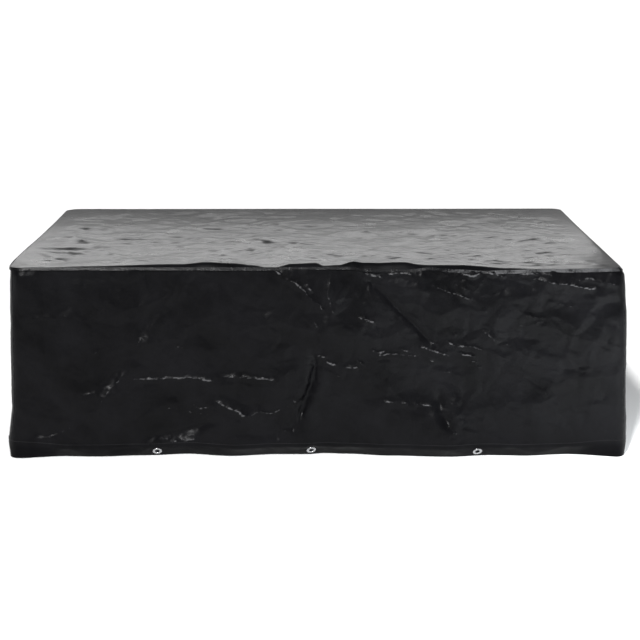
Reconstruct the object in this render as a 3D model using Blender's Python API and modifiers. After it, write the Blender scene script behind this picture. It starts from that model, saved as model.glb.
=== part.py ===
"""Patio furniture cover: a box-shaped black tarpaulin cover, draped and creased, with eyelets in its hem.

Metres, +Z up. The origin is on the floor, under the middle of the whole cover. The front faces -Y.
Each cloth piece is a grid laid along the drape by a function of its place, then given its thickness.
"""

import math
from collections import namedtuple

import bmesh
import bpy
from mathutils import Matrix, Vector

# ---- Driving dimensions -------------------------------------------------------------------------

WIDTH = 2.13  # top sheet, seam to seam, along X
DEPTH = 1.32  # top sheet, seam to seam, along Y
SEAM_HEIGHT = 0.677  # middle of the top sheet's thickness above the floor
SHEET = 0.002  # one layer of coated woven cloth with its fine creases
HEM_SHEET = 0.003  # the turned-up double layer
GAP = 0.0003  # between pieces that are sewn together
HEM_CLEARANCE = 0.0008  # more at the hem's top, where both edges lean
SEAM_CLEARANCE = 0.0006  # more under the top's rim, where the skirt leans out
LIP = 0.002  # how far the top's sewn rim stands out past the skirt

HEM_UPRIGHT = 0.010  # the hem strip hangs straight for this length,
HEM_BEND = 0.012  # turns inwards over this length,
HEM_FLAT = 0.048  # and runs flat to its edge on the floor
HEM_TUCK = math.radians(39)
CORNER_TUCK = math.radians(8)  # the hem hangs nearly straight at the upright corners,
TUCK_REACH = 0.20  # and reaches its full tuck this far from them
HEM_WIDTH = HEM_UPRIGHT + HEM_BEND + HEM_FLAT
HEM_BULGE_HEIGHT = 0.060  # the hem follows the skirt's outline at this height

EYELET_RADIUS = 0.0165
EYELET_BORE = 0.0080
EYELET_BARREL = 0.0010  # wall of the barrel that lines the hole
EYELET_WASHER = 0.0135  # radius of the flat ring behind the cloth
EYELET_METAL = 0.0010
EYELET_DOME = 0.0022  # height of the rounded front ring above the cloth
EYELET_EDGE = 0.028  # eyelet's centre above the hem's edge, along the cloth
EYELET_FACETS = 16
EYELET_LAND = 0.021  # half the width of the flat cell of cloth around an eyelet

CORNER_FADE = 0.07  # creases die out towards the upright corner seams
SEAM_FADE = 0.05  # and towards the seam around the top
WAVE_REACH = 0.26  # the hem's waves die out this far above the hem

# The skirt leans out to the right and the front, so the top sheet's middle lies beside the origin.
TOP_MIDDLE = (-0.015, 0.007, 0.0)

COLLECTION = "patio_furniture_cover"

# ---- Tables -------------------------------------------------------------------------------------

# How far each side of the skirt stands out from the seam line, at a height above the floor.
Bulge = namedtuple("Bulge", "height front right back left")
BULGES = (
    Bulge(height=0.677, front=0.000, right=0.002, back=0.000, left=-0.004),
    Bulge(height=0.650, front=0.008, right=0.024, back=0.006, left=-0.003),
    Bulge(height=0.500, front=0.022, right=0.033, back=0.016, left=-0.001),
    Bulge(height=0.300, front=0.031, right=0.037, back=0.024, left=-0.003),
    Bulge(height=0.170, front=0.035, right=0.039, back=0.029, left=0.002),
    Bulge(height=0.060, front=0.038, right=0.040, back=0.032, left=0.012),
    Bulge(height=0.000, front=0.038, right=0.040, back=0.032, left=0.012),
)

# Upright corners, going round: each is where a side starts. The cloth hangs squarer near the floor.
Corner = namedtuple("Corner", "side seam_radius floor_radius")
CORNERS = (
    Corner(side="front", seam_radius=0.140, floor_radius=0.050),
    Corner(side="right", seam_radius=0.055, floor_radius=0.050),
    Corner(side="back", seam_radius=0.075, floor_radius=0.050),
    Corner(side="left", seam_radius=0.090, floor_radius=0.050),
)

# How far the hem waves out and in, at a place along its side, measured from the side's middle.
Wave = namedtuple("Wave", "along out")
HEM_WAVES = {
    "front": (
        Wave(along=-0.90, out=0.006),
        Wave(along=-0.75, out=0.013),
        Wave(along=-0.60, out=0.002),
        Wave(along=-0.44, out=-0.014),
        Wave(along=-0.30, out=0.010),
        Wave(along=-0.12, out=-0.006),
        Wave(along=-0.04, out=-0.005),
        Wave(along=0.04, out=-0.018),
        Wave(along=0.12, out=-0.010),
        Wave(along=0.28, out=0.010),
        Wave(along=0.48, out=0.022),
        Wave(along=0.63, out=0.006),
        Wave(along=0.75, out=0.014),
        Wave(along=0.92, out=-0.004),
    ),
    "right": (
        Wave(along=-0.50, out=0.008),
        Wave(along=-0.33, out=-0.006),
        Wave(along=-0.12, out=0.012),
        Wave(along=0.10, out=-0.010),
        Wave(along=0.30, out=0.006),
        Wave(along=0.48, out=-0.006),
    ),
    "back": (
        Wave(along=-0.86, out=-0.008),
        Wave(along=-0.62, out=0.010),
        Wave(along=-0.38, out=-0.008),
        Wave(along=-0.14, out=0.012),
        Wave(along=0.10, out=-0.004),
        Wave(along=0.36, out=0.014),
        Wave(along=0.60, out=-0.008),
        Wave(along=0.84, out=0.010),
    ),
    "left": (
        Wave(along=-0.46, out=-0.006),
        Wave(along=-0.26, out=0.010),
        Wave(along=-0.04, out=-0.008),
        Wave(along=0.18, out=0.012),
        Wave(along=0.40, out=-0.004),
    ),
}

# A crease: the half-width of its soft slope, how far it rises, and the line that it follows.
# On a side the line's points are (along from the side's middle, height above the floor), on the top
# they are (x, y) from its middle. A crease that rises less than nothing is a trough.
Crease = namedtuple("Crease", "width rise line")
CREASES = {
    "front": (
        # the long soft fold that falls to the left
        Crease(0.045, 0.010, ((-0.49, 0.58), (-0.53, 0.50), (-0.63, 0.32), (-0.71, 0.23), (-0.81, 0.14))),
        Crease(0.045, -0.007, ((-0.44, 0.56), (-0.56, 0.34), (-0.66, 0.20))),
        # the flat storage crease across the left half
        Crease(0.030, 0.007, ((-0.62, 0.28), (-0.41, 0.29), (-0.12, 0.28))),
        Crease(0.035, -0.006, ((-0.60, 0.235), (-0.36, 0.240), (-0.14, 0.235))),
        # the short fold that dives towards the middle
        Crease(0.028, 0.009, ((-0.34, 0.20), (-0.24, 0.145), (-0.11, 0.16))),
        Crease(0.030, 0.007, ((-0.58, 0.07), (-0.38, 0.10), (-0.28, 0.14))),
        # the upright fold near the middle, bright on its right side
        Crease(0.032, 0.015, ((0.01, 0.40), (0.03, 0.30), (-0.02, 0.19), (-0.03, 0.08))),
        Crease(0.034, -0.011, ((-0.05, 0.36), (-0.04, 0.22), (-0.09, 0.08))),
        # the long diagonal that falls from the seam to the right
        Crease(0.034, -0.011, ((0.14, 0.66), (0.27, 0.59), (0.41, 0.45), (0.44, 0.41))),
        Crease(0.036, 0.007, ((0.18, 0.63), (0.32, 0.50), (0.38, 0.42))),
        Crease(0.030, 0.007, ((-0.14, 0.66), (-0.06, 0.61), (0.05, 0.52))),
        # the knot of short creases right of the middle
        Crease(0.030, 0.009, ((0.38, 0.39), (0.47, 0.375), (0.59, 0.38))),
        Crease(0.028, -0.006, ((0.40, 0.35), (0.50, 0.34), (0.58, 0.32))),
        # the soft bump between two upright folds over the right eyelet
        Crease(0.028, -0.010, ((0.46, 0.20), (0.47, 0.14), (0.49, 0.09))),
        Crease(0.026, 0.010, ((0.50, 0.20), (0.51, 0.09))),
        Crease(0.026, -0.008, ((0.53, 0.27), (0.54, 0.08))),
        Crease(0.034, 0.008, ((0.56, 0.16), (0.72, 0.18), (0.87, 0.22))),
        Crease(0.030, 0.007, ((0.78, 0.63), (0.89, 0.61), (0.99, 0.59))),
        Crease(0.040, -0.006, ((0.64, 0.45), (0.77, 0.42), (0.92, 0.33))),
        # the two wide soft hollows of the left and right halves
        Crease(0.130, -0.007, ((-0.85, 0.45), (-0.20, 0.42))),
        Crease(0.120, -0.006, ((0.20, 0.25), (0.85, 0.32))),
    ),
    "right": (
        Crease(0.045, 0.010, ((-0.52, 0.60), (-0.36, 0.44), (-0.24, 0.22))),
        Crease(0.040, -0.010, ((-0.10, 0.64), (-0.02, 0.40), (-0.06, 0.12))),
        Crease(0.032, 0.008, ((-0.30, 0.30), (0.02, 0.33), (0.34, 0.29))),
        Crease(0.042, 0.009, ((0.16, 0.52), (0.30, 0.36), (0.36, 0.10))),
        Crease(0.035, -0.008, ((0.46, 0.60), (0.40, 0.40))),
    ),
    "back": (
        Crease(0.046, 0.010, ((-0.88, 0.60), (-0.70, 0.40), (-0.62, 0.12))),
        Crease(0.040, -0.009, ((-0.48, 0.64), (-0.40, 0.42), (-0.44, 0.16))),
        Crease(0.034, 0.007, ((-0.70, 0.33), (-0.20, 0.35), (0.30, 0.32), (0.74, 0.34))),
        Crease(0.042, 0.010, ((-0.12, 0.60), (0.04, 0.44), (0.10, 0.20))),
        Crease(0.034, -0.008, ((0.02, 0.30), (-0.01, 0.09))),
        Crease(0.044, 0.010, ((0.44, 0.62), (0.38, 0.40), (0.46, 0.12))),
        Crease(0.040, -0.009, ((0.66, 0.56), (0.82, 0.30))),
    ),
    "left": (
        Crease(0.042, 0.009, ((-0.46, 0.60), (-0.38, 0.36), (-0.42, 0.12))),
        Crease(0.040, -0.009, ((-0.20, 0.63), (-0.12, 0.42), (-0.18, 0.16))),
        Crease(0.034, 0.008, ((-0.34, 0.31), (0.04, 0.34), (0.36, 0.30))),
        Crease(0.042, 0.009, ((0.12, 0.58), (0.22, 0.34), (0.18, 0.10))),
        Crease(0.036, -0.008, ((0.44, 0.56), (0.36, 0.26))),
    ),
    "top": (
        Crease(0.040, 0.006, ((-0.99, 0.25), (-0.91, 0.16), (-0.77, 0.20))),
        Crease(0.035, 0.006, ((-0.94, 0.00), (-0.85, -0.16))),
        Crease(0.045, -0.006, ((0.23, 0.25), (0.40, -0.02))),
        Crease(0.040, -0.006, ((0.59, 0.56), (0.72, 0.30))),
        Crease(0.045, -0.005, ((0.90, 0.48), (1.00, -0.50))),
        Crease(0.050, 0.005, ((-0.60, 0.30), (-0.20, 0.20), (0.20, 0.42))),
        Crease(0.050, 0.005, ((-0.55, -0.30), (-0.10, -0.24), (0.45, -0.36))),
        # the trough behind the front seam, where the sheet hangs between the seam and the furniture
        Crease(0.035, -0.006, ((-0.92, -0.60), (-0.39, -0.585), (0.12, -0.585), (0.66, -0.60))),
        # two wide soft hollows
        Crease(0.220, -0.008, ((-0.60, 0.02), (-0.30, -0.02))),
        Crease(0.220, -0.008, ((0.35, 0.05), (0.66, 0.10))),
    ),
}

# Places of the eyelets along each side, from its middle.
EYELETS = {
    "front": (-0.547, -0.005, 0.580),
    "right": (-0.300, 0.300),
    "back": (-0.550, 0.000, 0.550),
    "left": (-0.300, 0.300),
}

SKIRT_CELLS = {"front": 46, "right": 18, "back": 30, "left": 18}
# Heights of the skirt's rows, as shares of it. All four panels use them, so that their seams agree.
SKIRT_ROWS = (0.0, 0.05, 0.12, 0.20, 0.29, 0.38, 0.47, 0.56, 0.65, 0.74, 0.83, 0.91, 0.96, 1.0)
TOP_CELLS_ACROSS = 34
TOP_CELLS_BACK = 20
HEM_CELL = 0.060  # about this long between the eyelets
END_CELL = 0.006  # a narrow first and last cell, so that the ends of two panels face each other square
SKIRT_SEAM_SHARE = 0.6  # of the gap that each panel leaves at an upright corner seam
HEM_SEAM_SHARE = 1.5  # the hems leave more, because they close in below as they turn inwards

# Going round counter-clockwise: the direction along a side, and the direction out of it.
Side = namedtuple("Side", "along out length")
SIDES = {
    "front": Side(along=(1, 0), out=(0, -1), length=WIDTH),
    "right": Side(along=(0, 1), out=(1, 0), length=DEPTH),
    "back": Side(along=(-1, 0), out=(0, 1), length=WIDTH),
    "left": Side(along=(0, -1), out=(-1, 0), length=DEPTH),
}
SIDE_NAMES = tuple(SIDES)


# ---- The drape ----------------------------------------------------------------------------------


def soft_step(share):
    """0 to 1 with level ends."""
    share = min(max(share, 0.0), 1.0)
    return share * share * (3 - 2 * share)


def read_rows(rows, key, value, at):
    """The value at a place between a table's rows, softly blended."""
    rows = sorted(rows, key=lambda row: getattr(row, key))
    if at <= getattr(rows[0], key):
        return getattr(rows[0], value)
    for low, high in zip(rows, rows[1:]):
        start = getattr(low, key)
        end = getattr(high, key)
        if at <= end:
            blend = soft_step((at - start) / (end - start))
            return getattr(low, value) * (1 - blend) + getattr(high, value) * blend
    return getattr(rows[-1], value)


def bulge(side, height):
    """How far a side stands out at a height, read straight between the rows."""
    for high, low in zip(BULGES, BULGES[1:]):
        if height >= low.height:
            share = (min(height, high.height) - low.height) / (high.height - low.height)
            return getattr(low, side) * (1 - share) + getattr(high, side) * share
    return getattr(BULGES[-1], side)


def corner_radius(side, height):
    """Radius, at a height, of the upright corner where a side starts."""
    corner = next(corner for corner in CORNERS if corner.side == side)
    share = height / SEAM_HEIGHT
    return corner.floor_radius * (1 - share) + corner.seam_radius * share


def set_down(place, height):
    """A place measured from the top sheet's middle, as a point measured from the origin."""
    return Vector((place.x, place.y, height)) + Vector(TOP_MIDDLE)


def neighbours(side):
    """The side before and the side after, going round."""
    at = SIDE_NAMES.index(side)
    return SIDE_NAMES[at - 1], SIDE_NAMES[(at + 1) % len(SIDE_NAMES)]


def plan_point(side, share, height):
    """Where the cloth's plain outline runs at a height.

    share goes from 0 at the middle of the side's first corner to 1 at the middle of its last one.
    Gives the plan position, the direction out, the place along from the side's middle, and the
    distance to the nearer corner seam.
    """
    before, after = neighbours(side)
    facts = SIDES[side]
    start_radius = corner_radius(side, height)
    end_radius = corner_radius(after, height)
    start = -facts.length / 2 - bulge(before, height)
    end = facts.length / 2 + bulge(after, height)
    start_arc = start_radius * math.pi / 4
    end_arc = end_radius * math.pi / 4
    straight = end - start - start_radius - end_radius
    total = start_arc + straight + end_arc
    travelled = share * total
    if travelled < start_arc:
        turn = (travelled - start_arc) / start_radius
        along = start + start_radius + start_radius * math.sin(turn)
        drop = start_radius * (1 - math.cos(turn))
    elif travelled > start_arc + straight:
        turn = (travelled - start_arc - straight) / end_radius
        along = end - end_radius + end_radius * math.sin(turn)
        drop = end_radius * (1 - math.cos(turn))
    else:
        turn = 0.0
        along = start + start_radius + travelled - start_arc
        drop = 0.0
    half_across = (DEPTH if side in ("front", "back") else WIDTH) / 2
    out = half_across + bulge(side, height) - drop
    along_way = Vector((*facts.along, 0))
    out_way = Vector((*facts.out, 0))
    place = along_way * along + out_way * out
    outward = along_way * math.sin(turn) + out_way * math.cos(turn)
    return place, outward, along, min(travelled, total - travelled)


def distance_to_line(point, line):
    """Shortest distance from a point to a line of straight stretches."""
    nearest = math.inf
    for start, end in zip(line, line[1:]):
        start = Vector(start)
        stretch = Vector(end) - start
        share = (point - start).dot(stretch) / stretch.length_squared
        closest = start + stretch * min(max(share, 0.0), 1.0)
        nearest = min(nearest, (point - closest).length)
    return nearest


def creased(name, first, second):
    """How far the creases of a panel lift the cloth at a place on it."""
    point = Vector((first, second))
    lift = 0.0
    for crease in CREASES[name]:
        away = distance_to_line(point, crease.line) / crease.width
        lift += crease.rise * math.exp(-away * away)
    return lift


def hem_wave(side, along, to_corner):
    """How far the hem waves out at a place along its side."""
    return read_rows(HEM_WAVES[side], "along", "out", along) * soft_step(to_corner / CORNER_FADE)


def hem_tuck(to_corner):
    """The angle by which the hem turns inwards."""
    return CORNER_TUCK + (HEM_TUCK - CORNER_TUCK) * soft_step(to_corner / TUCK_REACH)


def hem_profile(down, tuck):
    """How far the hem strip has gone inwards and dropped, a length down from its top."""
    bent = min(max(down - HEM_UPRIGHT, 0.0), HEM_BEND)
    turn = tuck * bent / HEM_BEND
    bend_radius = HEM_BEND / tuck
    flat = max(down - HEM_UPRIGHT - HEM_BEND, 0.0)
    inwards = bend_radius * (1 - math.cos(turn)) + flat * math.sin(tuck)
    dropped = min(down, HEM_UPRIGHT) + bend_radius * math.sin(turn) + flat * math.cos(tuck)
    return inwards, dropped


def hem_top(tuck):
    """Height of the hem's top where its edge, as thick as the hem, stands on the floor."""
    return hem_profile(HEM_WIDTH, tuck)[1] + HEM_SHEET / 2 * math.sin(tuck)


SKIRT_TOP = SEAM_HEIGHT - SHEET / 2 - GAP - SEAM_CLEARANCE


def skirt_point(side, share, rise):
    """A point of a skirt panel: rise goes from 0 at the hem to 1 at the seam around the top."""
    to_corner = plan_point(side, share, HEM_BULGE_HEIGHT)[3]
    bottom = hem_top(hem_tuck(to_corner)) + GAP + HEM_CLEARANCE
    height = bottom + (SKIRT_TOP - bottom) * rise
    place, outward, along, to_corner = plan_point(side, share, height)
    wave = hem_wave(side, along, to_corner) * (1 - soft_step((height - bottom) / WAVE_REACH))
    fade = soft_step(to_corner / CORNER_FADE)
    fade *= soft_step((SKIRT_TOP - height) / SEAM_FADE)
    fade *= soft_step((height - bottom) / SEAM_FADE)
    return set_down(place + outward * (wave + creased(side, along, height) * fade), height)


def hem_point(side, share, down):
    """A point of a hem strip, a length down from its top."""
    place, outward, along, to_corner = plan_point(side, share, HEM_BULGE_HEIGHT)
    tuck = hem_tuck(to_corner)
    inwards, dropped = hem_profile(down, tuck)
    return set_down(place + outward * (hem_wave(side, along, to_corner) - inwards), hem_top(tuck) - dropped)


def rim_point(side, share):
    """A point of the top sheet's rim, just past the skirt."""
    place, outward, _, _ = plan_point(side, share, SEAM_HEIGHT)
    return place + outward * LIP


def top_point(across, back):
    """A point of the top sheet: across goes from left to right, back from front to back, both 0 to 1."""
    front_rim = rim_point("front", across)
    back_rim = rim_point("back", 1 - across)
    left_rim = rim_point("left", 1 - back)
    right_rim = rim_point("right", back)
    near_left = rim_point("front", 0)
    near_right = rim_point("front", 1)
    far_right = rim_point("back", 0)
    far_left = rim_point("back", 1)
    rules = front_rim * (1 - back) + back_rim * back + left_rim * (1 - across) + right_rim * across
    near = near_left * (1 - across) + near_right * across
    far = far_left * (1 - across) + far_right * across
    place = rules - near * (1 - back) - far * back
    rims = (front_rim, back_rim, left_rim, right_rim)
    to_rim = min((place - rim).length for rim in rims)
    return set_down(place, SEAM_HEIGHT + creased("top", place.x, place.y) * soft_step(to_rim / SEAM_FADE))


# ---- Making objects -----------------------------------------------------------------------------


def clear_scene():
    for old in list(bpy.data.objects):
        bpy.data.objects.remove(old)


def new_collection(name):
    made = bpy.data.collections.new(name)
    bpy.context.scene.collection.children.link(made)
    return made


def new_material(name, colour, roughness, metallic):
    made = bpy.data.materials.new(name)
    made.use_nodes = True
    shader = made.node_tree.nodes["Principled BSDF"]
    shader.inputs["Base Color"].default_value = (*colour, 1)
    shader.inputs["Roughness"].default_value = roughness
    shader.inputs["Metallic"].default_value = metallic
    return made


def cloth_object(name, columns, rows, place_of, thickness, parts, material):
    """A grid whose vertices are laid by place_of(column share, row share), then made a thick sheet."""
    grid = bmesh.new()
    bmesh.ops.create_grid(grid, x_segments=len(columns) - 1, y_segments=len(rows) - 1, size=0.5)
    for vertex in grid.verts:
        column = round((vertex.co.x + 0.5) * (len(columns) - 1))
        row = round((vertex.co.y + 0.5) * (len(rows) - 1))
        vertex.co = place_of(columns[column], rows[row])
    mesh = bpy.data.meshes.new(name)
    grid.to_mesh(mesh)
    grid.free()
    mesh.shade_smooth()
    mesh.materials.append(material)
    made = bpy.data.objects.new(name, mesh)
    parts.objects.link(made)
    solidify = made.modifiers.new("thickness", "SOLIDIFY")
    solidify.thickness = thickness
    solidify.offset = 0
    return made


def even_shares(count):
    """Shares from 0 to 1."""
    return [step / count for step in range(count + 1)]


def filled_in(stops, counts):
    """The stops, and even columns between them."""
    columns = [stops[0]]
    for start, end, count in zip(stops, stops[1:], counts):
        for step in range(count):
            columns.append(start + (end - start) * (step + 1) / count)
    return columns


def end_stops(side, gap_share):
    """The first and last two columns: just inside the corner seams, so that neighbours keep their gap."""
    inset = GAP * gap_share / SIDES[side].length
    near = END_CELL / SIDES[side].length
    return [inset, near], [1 - near, 1 - inset]


def share_at(side, along):
    """The share of the hem's length at a place along, found by halving."""
    low = 0.0
    high = 1.0
    for _ in range(40):
        middle = (low + high) / 2
        if plan_point(side, middle, HEM_BULGE_HEIGHT)[2] < along:
            low = middle
        else:
            high = middle
    return (low + high) / 2


def skirt_columns(side):
    """Shares of a skirt panel's columns: even ones between a narrow cell at each end."""
    first, last = end_stops(side, SKIRT_SEAM_SHARE)
    return filled_in(first + last, (1, SKIRT_CELLS[side], 1))


def hem_columns(side):
    """Shares of the hem's columns: narrow end cells, even ones, and one flat cell at each eyelet."""
    first, last = end_stops(side, HEM_SEAM_SHARE)
    stops = list(first)
    counts = [1]
    for along in EYELETS[side]:
        land = (share_at(side, along - EYELET_LAND), share_at(side, along + EYELET_LAND))
        counts.append(round((land[0] - stops[-1]) * SIDES[side].length / HEM_CELL))
        counts.append(1)
        stops.extend(land)
    counts.append(round((last[0] - stops[-1]) * SIDES[side].length / HEM_CELL))
    counts.append(1)
    return filled_in(stops + last, counts)


def eyelet_frame(side, along):
    """The eyelet's place and axes, from the flat cell of cloth around it. Its Z points out."""
    start = share_at(side, along - EYELET_LAND)
    end = share_at(side, along + EYELET_LAND)
    flat_top = HEM_UPRIGHT + HEM_BEND
    start_top = hem_point(side, start, flat_top)
    end_top = hem_point(side, end, flat_top)
    start_edge = hem_point(side, start, HEM_WIDTH)
    middle_top = (start_top + end_top) / 2
    down_way = (start_edge - start_top).normalized()
    along_way = (end_top - start_top).normalized()
    out_way = along_way.cross(-down_way).normalized()
    up_way = out_way.cross(along_way)
    centre = middle_top + down_way * (HEM_FLAT - EYELET_EDGE)
    turned = Matrix((along_way, up_way, out_way)).transposed().to_4x4()
    return Matrix.Translation(centre) @ turned


def eyelet_mesh(material):
    """Section of a two-part eyelet: a domed ring in front, a barrel, and a washer behind the cloth."""
    cloth = HEM_SHEET / 2 + GAP
    barrel = EYELET_BORE + EYELET_BARREL
    dome_top = cloth + EYELET_DOME
    middle = (barrel + EYELET_RADIUS) / 2
    section = (
        (EYELET_BORE, -cloth - EYELET_METAL),
        (EYELET_BORE, dome_top - EYELET_DOME * 0.35),
        (middle, dome_top),
        (EYELET_RADIUS - 0.0012, cloth + EYELET_DOME * 0.70),
        (EYELET_RADIUS, cloth),
        (barrel, cloth),
        (barrel, -cloth),
        (EYELET_WASHER, -cloth),
        (EYELET_WASHER, -cloth - EYELET_METAL),
    )
    ring = bmesh.new()
    corners = [ring.verts.new((radius, 0, height)) for radius, height in section]
    edges = [ring.edges.new((corner, corners[index - 1])) for index, corner in enumerate(corners)]
    bmesh.ops.spin(
        ring,
        geom=corners + edges,
        cent=(0, 0, 0),
        axis=(0, 0, 1),
        angle=math.tau,
        steps=EYELET_FACETS,
        use_merge=True,
    )
    bmesh.ops.remove_doubles(ring, verts=ring.verts[:], dist=0.00001)
    bmesh.ops.recalc_face_normals(ring, faces=ring.faces[:])
    mesh = bpy.data.meshes.new("eyelet")
    ring.to_mesh(mesh)
    ring.free()
    mesh.shade_smooth()
    mesh.set_sharp_from_angle(angle=math.radians(40))
    mesh.materials.append(material)
    return mesh


def cutter_mesh():
    """The hole that an eyelet's barrel goes through."""
    hole = bmesh.new()
    radius = EYELET_BORE + EYELET_BARREL + GAP
    bmesh.ops.create_cone(
        hole,
        cap_ends=True,
        segments=EYELET_FACETS,
        radius1=radius / math.cos(math.pi / EYELET_FACETS),
        radius2=radius / math.cos(math.pi / EYELET_FACETS),
        depth=HEM_SHEET * 5,
    )
    mesh = bpy.data.meshes.new("eyelet_hole")
    hole.to_mesh(mesh)
    hole.free()
    return mesh


# ---- The cover ----------------------------------------------------------------------------------


def make_top(parts, cloth):
    columns = even_shares(TOP_CELLS_ACROSS)
    rows = even_shares(TOP_CELLS_BACK)
    cloth_object("panel_top", columns, rows, top_point, SHEET, parts, cloth)


def make_skirt(side, parts, cloth):
    columns = skirt_columns(side)

    def place_of(share, rise):
        return skirt_point(side, share, rise)

    cloth_object(f"panel_{side}", columns, SKIRT_ROWS, place_of, SHEET, parts, cloth)


def make_hem(side, parts, cutters, cloth, ring_mesh, hole_mesh):
    flat_top = HEM_UPRIGHT + HEM_BEND
    rows = (HEM_WIDTH, flat_top, HEM_UPRIGHT, 0.0)

    def place_of(share, down):
        return hem_point(side, share, down)

    hem = cloth_object(f"hem_{side}", hem_columns(side), rows, place_of, HEM_SHEET, parts, cloth)
    for number, along in enumerate(EYELETS[side], start=1):
        frame = eyelet_frame(side, along)
        ring = bpy.data.objects.new(f"eyelet_{side}_{number}", ring_mesh)
        ring.matrix_world = frame
        parts.objects.link(ring)
        hole = bpy.data.objects.new(f"hole_{side}_{number}", hole_mesh)
        hole.matrix_world = frame
        hole.hide_render = True
        hole.display_type = "WIRE"
        cutters.objects.link(hole)
        cut = hem.modifiers.new(f"hole_{number}", "BOOLEAN")
        cut.operation = "DIFFERENCE"
        cut.object = hole


def main():
    clear_scene()
    parts = new_collection(COLLECTION)
    cutters = new_collection("cutters")
    cloth = new_material("black_tarpaulin", colour=(0.012, 0.012, 0.014), roughness=0.42, metallic=0.0)
    hem_cloth = new_material("black_hem", colour=(0.010, 0.010, 0.012), roughness=0.48, metallic=0.0)
    metal = new_material("eyelet_metal", colour=(0.72, 0.72, 0.74), roughness=0.28, metallic=1.0)
    make_top(parts, cloth)
    ring_mesh = eyelet_mesh(metal)
    hole_mesh = cutter_mesh()
    for side in SIDE_NAMES:
        make_skirt(side, parts, cloth)
        make_hem(side, parts, cutters, hem_cloth, ring_mesh, hole_mesh)


main()
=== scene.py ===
"""The patio furniture cover as it looks: a black tarpaulin box cover, draped, creased and crinkled.

Metres, +Z up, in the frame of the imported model. The cloth is laid by the same rules as the solids, on
much finer grids and with a few sizes nearer to the photo. The creases, crumple, seams, stitches and
eyelets are added to it.
"""

import math
from collections import namedtuple

import bmesh
import bpy
import numpy as np
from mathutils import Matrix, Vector


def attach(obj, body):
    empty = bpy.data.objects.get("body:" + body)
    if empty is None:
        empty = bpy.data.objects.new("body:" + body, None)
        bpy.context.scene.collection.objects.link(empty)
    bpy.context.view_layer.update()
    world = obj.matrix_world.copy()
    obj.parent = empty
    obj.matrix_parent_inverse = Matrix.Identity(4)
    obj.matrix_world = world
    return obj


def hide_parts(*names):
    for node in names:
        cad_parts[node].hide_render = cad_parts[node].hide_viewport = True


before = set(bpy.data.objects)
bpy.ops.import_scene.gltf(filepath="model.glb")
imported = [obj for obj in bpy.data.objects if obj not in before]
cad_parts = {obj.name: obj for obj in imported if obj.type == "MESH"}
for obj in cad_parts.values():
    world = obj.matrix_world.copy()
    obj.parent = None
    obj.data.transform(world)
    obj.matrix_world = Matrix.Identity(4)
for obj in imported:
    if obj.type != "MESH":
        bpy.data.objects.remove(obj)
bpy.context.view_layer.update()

# ---- The drape's driving dimensions -----------------------------------------------------------------

WIDTH = 2.13
DEPTH = 1.32
SEAM_HEIGHT = 0.677
SHEET = 0.002
HEM_SHEET = 0.003
GAP = 0.0003
SEAM_CLEARANCE = 0.0006
LIP = 0.002  # how far the top sheet's rim stands out over the skirt
HEM_UPRIGHT = 0.010
HEM_BEND = 0.012
HEM_FLAT = 0.048
HEM_TUCK = math.radians(39)
CORNER_TUCK = math.radians(4)  # the hem turns in less here than in the solids
TUCK_REACH = 0.20
HEM_WIDTH = HEM_UPRIGHT + HEM_BEND + HEM_FLAT
HEM_BULGE_HEIGHT = 0.060
EYELET_RADIUS = 0.0165
EYELET_BORE = 0.0080
EYELET_WASHER = 0.0135
EYELET_METAL = 0.0010
EYELET_DOME = 0.0022
EYELET_PLAY = 0.0002  # between the metal and the cloth
CORNER_FADE = 0.07
WAVE_REACH = 0.26
TOP_MIDDLE = np.array((-0.015, 0.007, 0.0))

# ---- What only the looks need ----------------------------------------------------------------------

LAP = 0.0105  # how far the seam allowance laps down over the skirt
LAP_OUT = 0.0010  # how far it stands off
LAP_FLAT = 0.8  # where its flat place starts, clear of the skirt's
LAP_UNEVEN = 0.16  # how much its depth varies
LAP_UNEVEN_SPACING = 0.055
LAP_CALM_REACH = 0.02  # it lies still this near the corners
LAP_WAVE = 0.0010  # how far it stands off in waves, each with a share, a spacing and a drift downwards
LAP_WAVES = ((0.9, 0.045, 0.010), (0.5, 0.017, 0.012), (0.7, 0.120, 0.0))
LAP_WEAR_AND_HIGHLIGHT = 0.25  # how much wear and painted highlight its fold gets
FRONT_WEAR_AND_HIGHLIGHT = 0.55  # how much more wear and painted highlight the front's lap gets, right of the start below
FRONT_HIGHLIGHT_START = 0.36
FRONT_HIGHLIGHT_REACH = 0.30
CORNER_RIDGE = 0.0018  # the upright seams: their height, width, unevenness, and wear with painted highlight
CORNER_RIDGE_WIDTH = 0.009
CORNER_RIDGE_SUNK = 0.0008
CORNER_RIDGE_UNDER = 0.003  # they start this far under the hem's top
CORNER_RIDGE_BELOW = 0.004  # and end this far below the top's seam
CORNER_ROWS = 9
CORNER_RIDGE_UNEVEN = 0.5
CORNER_RIDGE_WEAR_AND_HIGHLIGHT = 0.3
SEAM_CALM = 0.35  # share of the relief that is left right under the top's seam
SEAM_CALM_REACH = 0.030
SEAM_PUCKER = 0.0014
SEAM_PUCKER_REACH = 0.028
CORNER_CALM_REACH = 0.035
DROP_REACH = 0.06  # the skirt follows the seam's drop this far down
HEM_CALM = 0.75  # share of the relief that is gone at the hem's edge
HEM_PUCKER = 0.0004
HEM_PUCKER_REACH = 0.010
HEM_START = (-0.003, -0.0004)  # the hem's first ring, up behind the skirt: length down and offset
HEM_THICKENING = 0.030  # the hem reaches its full thickness this far below its top
FLOOR_CLEARANCE = 0.0004
PRESSED_MARGIN = 0.001  # the cloth is flat this far around an eyelet
PRESSED_REACH = 0.014
HOLE_MARGIN = 0.0028  # the hole in the cloth is this much wider than the bore
RIM_CALM = 0.06  # share of the top's relief that is left at its rim
RIM_CALM_REACH = 0.13
TOP_SEED = 90
HEM_STITCHES = 0.007  # the hem's row of stitches, below its top
STITCH_PITCH = 0.0072
STITCH_LENGTH = 0.0046
THREAD = 0.0009
STITCH_SIZE = THREAD * 0.6
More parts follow.
